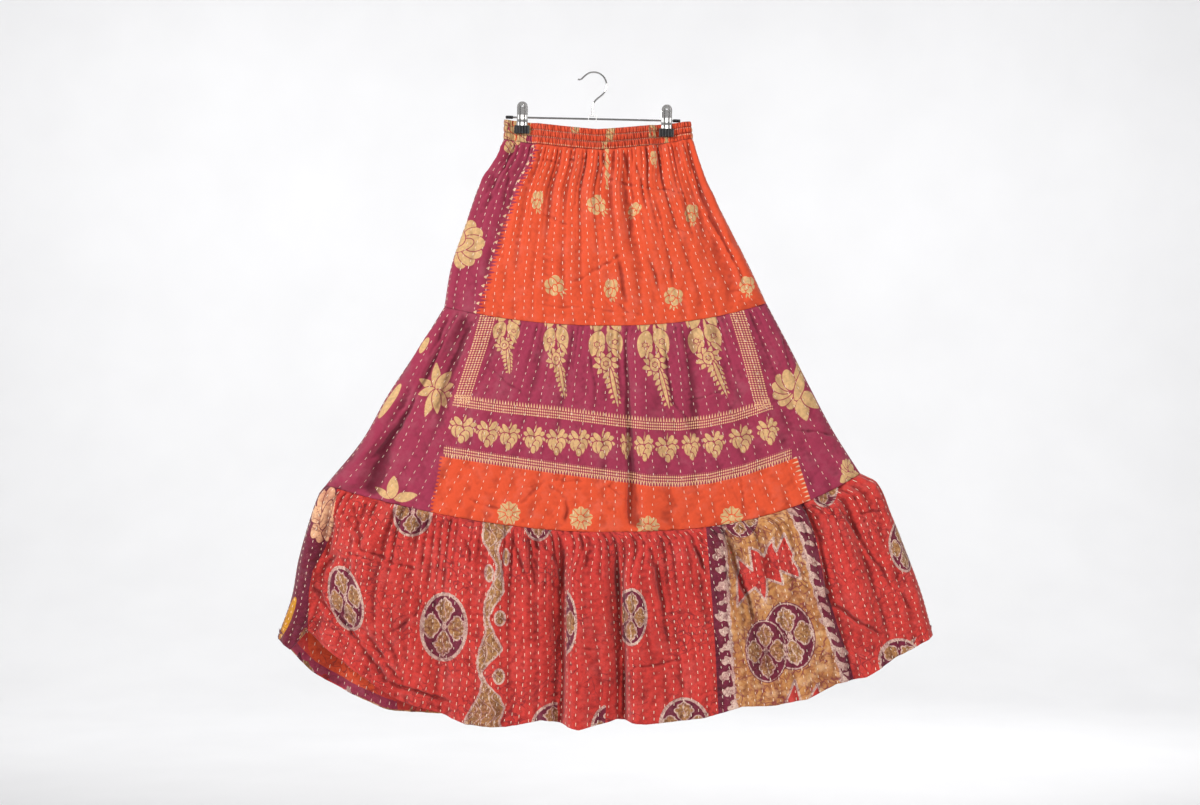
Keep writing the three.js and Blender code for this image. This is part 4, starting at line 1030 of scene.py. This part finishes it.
def middle_print(x, z):
    """Sprays over a row of cones on plum, between flowers, and rosettes on an orange strip."""
    layers = blank(x)
    row_one, row_two = line_z(x, "middle", ROW_ONE), line_z(x, "middle", ROW_TWO)
    left, right = line_x(z, "middle", ORANGE_LEFT), line_x(z, "middle", RIGHT_SEAM)
    strip = np.maximum(np.maximum(z - (row_two - 13), left - x), x - right)
    layers["panel"] = strip
    teeth = spikes(z + (right - x) * 0.3, right - x, 6.5, 12.0, 2.8)
    layers["pale"] = np.where(z < row_two - 8, teeth, FAR)
    dash = spikes(z, x - left, 6.0, 6.0, 4.0)
    layers["dark"] = np.where(z < row_two - 14, dash, FAR)
    pines = [(px, py, (px - PICTURE_WIDE / 2) * -0.06, wide, 0.92) for px, py, wide in PINES]
    for motif, reach, spots in (
        (spray, 150, SPRAYS), (pine, 30, pines), (peony, 70, PEONIES),
        (star_flower, 70, [(434, 389, 14, 0.9, 1.0)]), (three_leaves, 70, [(390, 499, 4, 1.0, 1.0)]),
    ):
        p = painted("middle", x, z, spots, reach, motif)
        lay_gold(layers, p.shape, p.vein)
    for px, py, wide, high, turn in ((386, 401, 7, 32, 34), (422, 345, 5, 14, 30)):
        cx, cz = spot("middle", px, py)
        lay_gold(layers, ellipse(x, z, cx, cz, wide, high, turn), 3 * np.sin(z / 9) + 4)
    p = painted("middle", x, z, [(px, py, 0, 1, 1) for px, py in ROSETTES], 30, rosette)
    lay_gold(layers, p.shape, p.vein, strip < 0)
    inner = np.maximum(line_x(z, "middle", SIDE_LEFT) - x, x - line_x(z, "middle", SIDE_RIGHT))
    layers["rows"] = np.stack([z - row_one, z - row_two, inner], axis=-1)
    layers["runs"] = np.stack([x, z, np.zeros_like(x)], axis=-1)
    return layers


def lay_medallion(layers, x, z, px, py, turn, half_wide, half_high, low=0, high=PICTURE_WIDE, thin=0.0):
    """Lays a medallion over what is there, as far as it shows."""
    (x0, x1), _ = spot("lower", [low, high], [0, 0])
    shows = (x >= x0) & (x <= x1)
    ux, uz = turned(x, z, *spot("lower", px, py), turn)
    oval, light, lobes, veins = medallion(ux, uz, half_wide * PIXEL, half_high * PIXEL, thin)
    within, ground = (oval < 6) & shows, (oval < 0.5) & shows
    layers["dark"] = np.where(within, np.minimum(layers["dark"], oval), layers["dark"])
    layers["pale"] = np.where(ground, light, np.minimum(layers["pale"], np.where(within, light, FAR)))
    layers["gold"] = np.where(ground, lobes, layers["gold"])
    layers["vein"] = np.where(ground, veins, layers["vein"])


def blots(x, z, edge, shift, side):
    """Pale blots in a column beside an edge, and the ragged line along it."""
    pitch = 23.5
    number = np.floor((z + shift) / pitch)
    cell = ((z + shift) / pitch) % 1 - 0.5 + 0.1 * np.sin(number * 5.7)
    small = 1 + 0.28 * np.sin(number * 3.3)
    wobble = 3.5 * np.sin(z / 5.1) + 2.0 * np.sin(z / 2.9 + 1)
    middle = edge + side * (9 + wobble * 0.6) + 2.5 * np.sin(number * 7.9)
    tilt = cell * pitch + (x - middle) * (0.35 + 0.25 * np.sin(number * 2.3)) * side
    blot = (np.sqrt(((x - middle) / 9.5) ** 2 + (tilt / 6.4) ** 2) - small) * 6.4
    blot = blot + 1.2 * np.sin(x / 1.9 + z / 2.3)
    seamed = np.abs(x - edge - side * 1.0) - 2.2 - 0.9 * np.sin(z / 3.3)
    return np.minimum(blot, seamed)


def vine_shape(x, z):
    """The ragged vine down the lower tier, with its ovals."""
    downs, lefts, rights = zip(*VINE)
    vx0, vz = spot("lower", lefts, downs)
    vx1, _ = spot("lower", rights, downs)
    fine_z = np.arange(vz.min() - 20, vz.max() + 20, 1.0)
    soft = np.hanning(17) / np.hanning(17).sum()
    edges = (np.convolve(np.interp(fine_z, vz[::-1], v[::-1]), soft, mode="same") for v in (vx0, vx1))
    left, right = (np.interp(z, fine_z[10:-10], edge[10:-10]) for edge in edges)
    ragged = 0.7 * np.sin(z / 2.3) + 0.5 * np.sin(z / 1.4 + x)
    vine = np.maximum(left - x, x - right) * 0.85 + ragged * 0.5
    for px, py, wide, high in VINE_OVALS:
        cx, cz = spot("lower", px, py)
        vine = np.minimum(vine, ellipse(x, z, cx, cz, wide * PIXEL, high * PIXEL))
    return vine


def lower_print(x, z):
    """Medallions and a vine on red, a tan panel between plum bands, and a plum piece at the left."""
    layers = blank(x)
    left, right, band_left, band_right = (
        line_x(z, "lower", line) for line in (TAN_LEFT, TAN_RIGHT, BAND_LEFT, BAND_RIGHT)
    )
    layers["dark"] = np.minimum(np.maximum(band_left - x, x - left), np.maximum(right - x, x - band_right))
    for edge, shift, side in ((left, 0, -1), (right, 11, 1)):
        layers["pale"] = np.minimum(layers["pale"], blots(x, z, edge, shift, side))
    for row in MEDALLIONS:
        lay_medallion(layers, x, z, *row)
    red_in_tan = np.full(x.shape, FAR)
    for shape in (STAR, *HEM_POINTS):
        outline = [tuple(float(v) for v in spot("lower", px, py)) for px, py in shape]
        red_in_tan = np.minimum(red_in_tan, outline_distance(x, z, outline))
    layers["panel"] = np.maximum(np.maximum(left - x, x - right), -red_in_tan)
    outlined = np.where(red_in_tan < 8, np.abs(red_in_tan) - 1.9, FAR)
    layers["pale"] = np.minimum(layers["pale"], outlined)
    for row in TAN_MEDALLIONS:
        lay_medallion(layers, x, z, *row, thin=1.4)
    vine = vine_shape(x, z)
    layers["pale"] = np.minimum(layers["pale"], np.where(vine < 8, vine, FAR))
    plum = x - line_x(z, "lower", LEFT_PLUM)
    layers["dark"] = np.minimum(layers["dark"], plum)
    flowers = painted("lower", x, z, SMALL_PEONIES, 60, peony)
    flower = np.where(plum < 0, flowers.shape, FAR)
    layers["gold"] = np.minimum(np.minimum(layers["gold"], vine + 3.0), flower)
    tall = painted("lower", x, z, [(320, 519, 14, 0.68, 1.14)], 70, tall_flower)
    layers["peach"] = np.where(plum < 1, tall.shape, FAR)
    stems = 4 * np.sin(x / 3.3 + 2 * np.sin(z / 7)) + 3 * np.sin(z / 5.3)
    for where, veins in ((vine < 1, stems), (flower < 3, flowers.vein), (tall.shape < 3, tall.vein)):
        layers["vein"] = np.where(where, veins, layers["vein"])
    layers["yellow"] = ellipse(x, z, *spot("lower", 280, 621), 8, 36, 24)
    return layers


PRINTS = {"upper": upper_print, "middle": middle_print, "lower": lower_print}


def lining_print(tier, x, z):
    """The inside layer's patches: an orange one, and a plum strip along the hem."""
    panel, dark = np.full(x.shape, FAR), np.full(x.shape, FAR)
    if tier == "lower":
        (x0, x1), (_, z1) = spot("lower", [300, 388], [630, 730])
        dark = np.maximum(z - (z[-1:] + 16), x - x1 - 6)
        panel = np.maximum(np.maximum(x0 - x, x - x1 + (z - z1) * 0.5), z1 - z)
        panel = np.maximum(panel, -dark)
    return {"panel": panel, "dark": dark}


def build_tier(tier, side, material):
    """A tier's outer cloth on one side, and its grid of points."""
    made, back = TIERS[tier], side == "back"
    per_row, row_count = made["near" if back else "far"]
    shares = np.linspace(0, 1, made["rows"] * per_row + 1)
    trim = SEAM_GAP / 2 / made["height"]
    downs = np.clip(np.linspace(0, 1, row_count + 1), trim, 1 if tier == "lower" else 1 - trim)
    rows = [tier_row(tier, side, shares, float(down)) for down in downs]
    x, y, z, run, nx, ny, push = (np.array(values) for values in zip(*rows))
    layers = PRINTS[tier](run if back else PRINT_MIRROR - run, z)
    # How far each point lies below its neighbours; the material paints shade where it is deep.
    layers["hollow"] = push - blurred(push, 9 if per_row > 8 else 5, 4)
    grid = points = np.stack([x, y, z], axis=-1)
    for inward, up in HEM_TURN if tier == "lower" else ():
        edge = grid[-1].copy()
        edge[:, 0] -= nx[-1] * inward
        edge[:, 1] -= ny[-1] * inward
        edge[:, 1] = SIGN[side] * np.maximum(SIGN[side] * edge[:, 1], HEM_CLEAR)
        edge[:, 2] += up
        points = np.concatenate([points, edge[None]])
        layers = {key: np.concatenate([v, v[-1:]]) for key, v in layers.items()}
    cloth = grid_object(f"{tier}_cloth_{side}", points, layers, material, flip=not back)
    return cloth, grid


def build_lining(tier, side, material):
    """The inside layer of a tier on one side, and its grid of points."""
    made, back = TIERS[tier], side == "back"
    per_row, row_count = made["near" if back else "far"]
    shares = np.linspace(0, 1, made["rows"] * per_row + 1)[:: 3 if per_row > 4 else 2]
    down = np.linspace(0, 1, row_count // (6 if per_row > 10 else 4) + 1)
    trim = SEAM_GAP / 2 / made["height"]
    rows = [tier_row(tier, side, shares, float(d), fine=False) for d in np.clip(down, trim, 1 - trim)]
    x, y, z, run, nx, ny, _ = (np.array(values) for values in zip(*rows))
    layers = lining_print(tier, run, z)
    down = down[:, None]
    behind = LINING_BEHIND - LINING_CLOSER * smooth(down, 0.9, 1)
    x, y = x - nx * behind, y - ny * behind
    y = SIGN[side] * np.maximum(SIGN[side] * y, LINING_CLEAR)
    if tier == "lower":
        z[-1] += LINING_UP
    grid = np.stack([x, y, z], axis=-1)
    return grid_object(f"{tier}_lining_{side}", grid, layers, material, flip=back), grid


# A stitch's sections: share of its length, whether it is wide there, and how high its ridge is
STITCH_SECTIONS = ((0.0, False, -0.1), (0.2, True, 0.5), (0.8, True, 0.5), (1.0, False, -0.1))
STITCH_FACES = [(0, 1, 2), (0, 2, 3), (1, 4, 5), (1, 5, 2), (2, 5, 6), (2, 6, 3), (4, 7, 5), (5, 7, 6)]


def stitches(tier, side, grid, material, inward=False):
    """Running stitch down the tier, as low rounded dashes lying on the cloth."""
    row_count, columns = grid.shape[0] - 1, grid.shape[1] - 1
    lanes, height = TIERS[tier]["rows"], TIERS[tier]["height"]
    seed, pitch, long, thick = TIERS[tier]["stitch"]
    rng = np.random.default_rng(seed + (50 if side == "front" else 0))
    per_row = columns // lanes
    starts, ends = [], []
    for lane in range(lanes):
        run = rng.uniform(0, pitch)
        while run < height - 3:
            drift = 0.10 * math.sin(run / 31 + lane * 1.7) + 0.03 * rng.normal()
            column = (lane + 0.5 + drift) * per_row
            length = long * rng.uniform(0.75, 1.2)
            starts.append((column, run / height * row_count))
            ends.append((column, min(row_count, (run + length) / height * row_count)))
            run += pitch * rng.uniform(0.9, 1.12)
    starts, ends = np.array(starts), np.array(ends)

    def at(places):
        c = np.clip(places[:, 0], 0, columns - 1.001)
        r = np.clip(places[:, 1], 0, row_count - 0.001)
        c0, r0 = c.astype(int), r.astype(int)
        fc, fr = (c - c0)[:, None], (r - r0)[:, None]
        a, b = grid[r0, c0], grid[r0, c0 + 1]
        d, e = grid[r0 + 1, c0], grid[r0 + 1, c0 + 1]
        return (a * (1 - fc) + b * fc) * (1 - fr) + (d * (1 - fc) + e * fc) * fr

    def outward(places):
        wide = at(places + [0.8, 0]) - at(places - [0.8, 0])
        tall = at(places - [0, 0.8]) - at(places + [0, 0.8])
        normal = np.cross(wide, tall) * (-1 if flipped else 1)
        return [way / (np.linalg.norm(way, axis=1, keepdims=True) + 1e-9) for way in (normal, wide)]

    flipped = (side == "front") != inward
    verts = []
    for share, is_wide, high in STITCH_SECTIONS:
        places = starts + (ends - starts) * share
        middle = at(places)
        normal, across = outward(places)
        ridge = middle + normal * high
        if is_wide:
            left = middle - across * thick - normal * 0.15
            verts += [left, ridge, middle + across * thick - normal * 0.15]
        else:
            verts.append(ridge)
    verts = np.stack(verts, axis=1)
    base = (np.arange(len(verts)) * verts.shape[1])[:, None]
    faces = np.concatenate([base + np.array(face)[None] for face in STITCH_FACES])
    if flipped:
        faces = faces[:, ::-1]
    name = f"{tier}_lining_stitches_{side}" if inward else f"{tier}_stitches_{side}"
    return mesh_object(name, verts.reshape(-1, 3), faces, {}, material)


def band_ring(down, swell, inside_by=None):
    """One row of the waistband, all round: x, y, z, the run along its side, and how hollow it is."""
    per_ruffle = 6
    steps = np.arange(RUFFLES * per_ruffle)
    shares = steps / len(steps)
    level = level_at(LEVELS["band"], down)
    parts = []
    for side, s, shift in (("back", shares, 0), ("front", 1 - shares, 0.4)):
        x, y, nx, ny, run = side_curve(level, side, 1, s)
        passed = steps / per_ruffle + shift
        uneven = passed + 0.22 * np.sin(passed * 1.9 + down * 4) + 0.16 * np.sin(passed * 4.3 - down * 6)
        ruffle = np.abs(np.sin(np.pi * uneven)) ** 0.8
        squeeze = 1 - PINCH_SQUEEZE * pinch_at(x)
        at_ends = 1 - 0.75 * smooth(np.abs(across_at(level, x)), 0.965, 0.995)
        out = swell * (0.2 + 1.05 * ruffle) * squeeze * at_ends - 0.9 * (1 - ruffle) * at_ends
        if inside_by:
            out = -inside_by
        x2 = x + nx * out
        # Painted shade: low in the gaps between ruffles and along the channels, where the material darkens
        # the band.
        hollow = (ruffle - 0.74) * 5.5 + (min(swell, 2.0) - 2.0) * 0.9
        seen = run if side == "back" else PRINT_MIRROR - run
        parts.append(np.stack([x2, y + ny * out, height_at(level, x2), seen, hollow], axis=-1))
    return np.concatenate(parts)


def waistband(material):
    """The band as one ring: over its top edge, down its channels, round its lower edge and up inside."""
    downs = np.linspace(0, 1 - SEAM_GAP / 2 / BAND_HEIGHT, 40)
    rows = [band_ring(0.0, 0, BAND_WALL), band_ring(0.0, 0, BAND_WALL / 2)]
    rows += [band_ring(down, table(CHANNEL_SHAPE, down)) for down in downs]
    rows += [band_ring(downs[-1], 0, 1.0), band_ring(downs[-1], 0, BAND_WALL)]
    rows += [band_ring(down, 0, BAND_WALL) for down in (0.66, 0.33, 0.0)]
    data = np.array(rows)
    points, run, z = data[..., :3], data[..., 3], data[..., 2]
    layers = blank(run)
    # The band's painted shade in its ruffle gaps and channels.
    layers["hollow"] = data[..., 4]
    top = height_at(level_at(LEVELS["band"], 0), points[..., 0])
    share = np.clip((top - z) / BAND_PRINT_HEIGHT, 0, 1)
    for a, b, start, stop in BAND_GOLD:
        (xa, xb), _ = spot("band", [a, b], [0, 0])
        upright = np.maximum(start - share, share - stop) * BAND_PRINT_HEIGHT
        part = np.maximum(np.maximum(xa - run, run - xb), upright)
        layers["gold"] = np.minimum(layers["gold"], part + 0.8 * np.sin(z / 1.7))
    layers["vein"] = 3 * np.sin(run / 4.1 + z / 6) + 2 * np.sin(z / 2.7)
    cell = ((run / 3.2) % 1 - 0.5) * 3.2
    for line in (0.315, 0.645, 0.97):
        dot = np.hypot(cell * 0.8, (share - line) * BAND_PRINT_HEIGHT) - 0.75
        layers["pale"] = np.minimum(layers["pale"], dot)
    (plum_from, plum_to, left_end), _ = spot("band", [519, 530, 507], [0, 0, 0])
    low = np.maximum(np.maximum(plum_from - run, run - plum_to), (0.6 - share) * BAND_PRINT_HEIGHT)
    layers["panel"] = np.minimum(low, run - left_end)
    return grid_object("waistband_cloth", points, layers, material, closed=True)


def main():
    cloths = {
        "upper": cloth_material("orange_print", ORANGE, PLUM, dark=PLUM),
        "middle": cloth_material("plum_print", PLUM, ORANGE, dark=PLUM, borders=True),
        "lower": cloth_material(
            "red_batik", RED, TAN, dark=MAROON, pale=DIM_CREAM, gold=BROWN_GOLD, batik=True
        ),
    }
    linings = {
        "upper": cloth_material("plum_lining", PLUM, ORANGE, lined=True),
        "middle": cloth_material("orange_lining", ORANGE, PLUM, lined=True),
        "lower": cloth_material("red_lining", RED, ORANGE, dark=PLUM, lined=True, batik=True),
    }
    thread = thread_material()
    above = {side: "waistband_cloth" for side in SIGN}
    for tier, made in TIERS.items():
        for side in SIGN:
            cloth, grid = build_tier(tier, side, cloths[tier])
            lining, inner_grid = build_lining(tier, side, linings[tier])
            sewn, sewn_inside = [stitches(tier, side, grid, thread)], []
            if tier == "lower":
                sewn_inside = [stitches(tier, side, inner_grid, thread, inward=True)]
            for piece in (cloth, lining, *sewn, *sewn_inside):
                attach(piece, "root")
            nodes = [f"{tier}_tier_{side}"]
            if tier == "lower" and side == "front":
                nodes.append("hem_facing_front")
            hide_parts(*nodes)
            above[side] = f"{tier}_cloth_{side}"
    band = waistband(cloth_material("waist_print", ORANGE, PLUM))
    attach(band, "root")
    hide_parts("waistband")

    rubber = rubber_material()
    metal = metal_material("chrome")
    jaws = [metal_material(f"chrome_jaw_{i}", at) for i, at in enumerate(CLIPS)]
    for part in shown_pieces():
        node = part.get("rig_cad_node", "")
        finish = metal
        if "grip" in node or "cap" in node:
            finish = rubber
        elif "jaw" in node:
            finish = jaws["right" in node]
        if node:
            part.data.materials.clear()
            part.data.materials.append(finish)


# The lamps: name, place and aim in metres, power in watts, width and height
LAMPS = (
    ("key", (-2.1, -1.7, 0.9), (0.0, 0.0, -0.55), 62, 0.7, 0.7),
    ("fill", (1.7, -2.4, 0.1), (0.0, 0.0, -0.55), 25, 1.2, 1.2),
    ("front", (0.1, -3.6, 0.3), (0.0, 0.0, -0.3), 11, 1.3, 1.0),
    ("rear", (0.8, 2.6, 0.7), (0.0, 0.0, -0.5), 27, 1.2, 1.2),
    ("behind_left", (-1.9, 2.2, 0.8), (-1.3, 5.0, 0.0), 35, 1.6, 1.6),
    ("behind_right", (1.9, 2.2, 0.6), (1.3, 5.0, -0.3), 32, 1.6, 1.6),
)
# The floor: its front edge, where it starts to curve, its level, the curve's radius, and the wall's top
FLOOR_FRONT, FLOOR_CURVE, FLOOR_LEVEL, FLOOR_RADIUS, WALL_TOP = -6000, 3200, -1500, 1800, 3800
SENSOR = 36


def studio():
    """A pale floor that sweeps up behind, a pale surround, soft lights and the camera."""
    scene = bpy.context.scene
    world = bpy.data.worlds.new("studio")
    scene.world = world
    world.use_nodes = True
    shade = world.node_tree.nodes["Background"]
    shade.inputs["Color"].default_value = (1.0, 1.0, 1.0, 1)
    shade.inputs["Strength"].default_value = 0.38

    line = [(FLOOR_FRONT, FLOOR_LEVEL), (FLOOR_CURVE, FLOOR_LEVEL)]
    for a in np.linspace(0.1, math.pi / 2, 15):
        up = FLOOR_RADIUS * (1 - math.cos(a))
        line.append((FLOOR_CURVE + FLOOR_RADIUS * math.sin(a), FLOOR_LEVEL + up))
    line.append((FLOOR_CURVE + FLOOR_RADIUS, WALL_TOP))
    floor_points = np.array([[(x, y, z) for x in (-7000, 7000)] for y, z in reversed(line)], float)
    g = Graph("floor")
    tone = g.between(g.noise(3.0), 0.3, 0.7)
    pale = g.mix(tone, (0.9, 0.9, 0.91, 1), (0.87, 0.87, 0.88, 1))
    floor = grid_object("floor", floor_points, {}, g.surface(Base_Color=pale, Roughness=0.9))

    for name, place, aim, power, width, height in LAMPS:
        light = bpy.data.lights.new(name, "AREA")
        light.shape, light.size, light.size_y, light.energy = "RECTANGLE", width, height, power
        lamp = bpy.data.objects.new(name, light)
        scene.collection.objects.link(lamp)
        lamp.visible_camera = False
        lamp.location = place
        lamp.rotation_mode = "QUATERNION"
        lamp.rotation_quaternion = (Vector(aim) - Vector(place)).to_track_quat("-Z", "Y")

    camera = bpy.data.cameras.new("camera")
    camera.sensor_width = SENSOR
    camera.lens = SENSOR * DISTANCE / (PICTURE_WIDE * PIXEL)
    eye = bpy.data.objects.new("camera", camera)
    scene.collection.objects.link(eye)
    eye.location = (PICTURE_X * MM, -DISTANCE * MM, PICTURE_Z * MM)
    eye.rotation_euler = (math.pi / 2, 0, 0)
    scene.camera = eye
    scene.view_settings.view_transform = "Standard"


main()
studio()
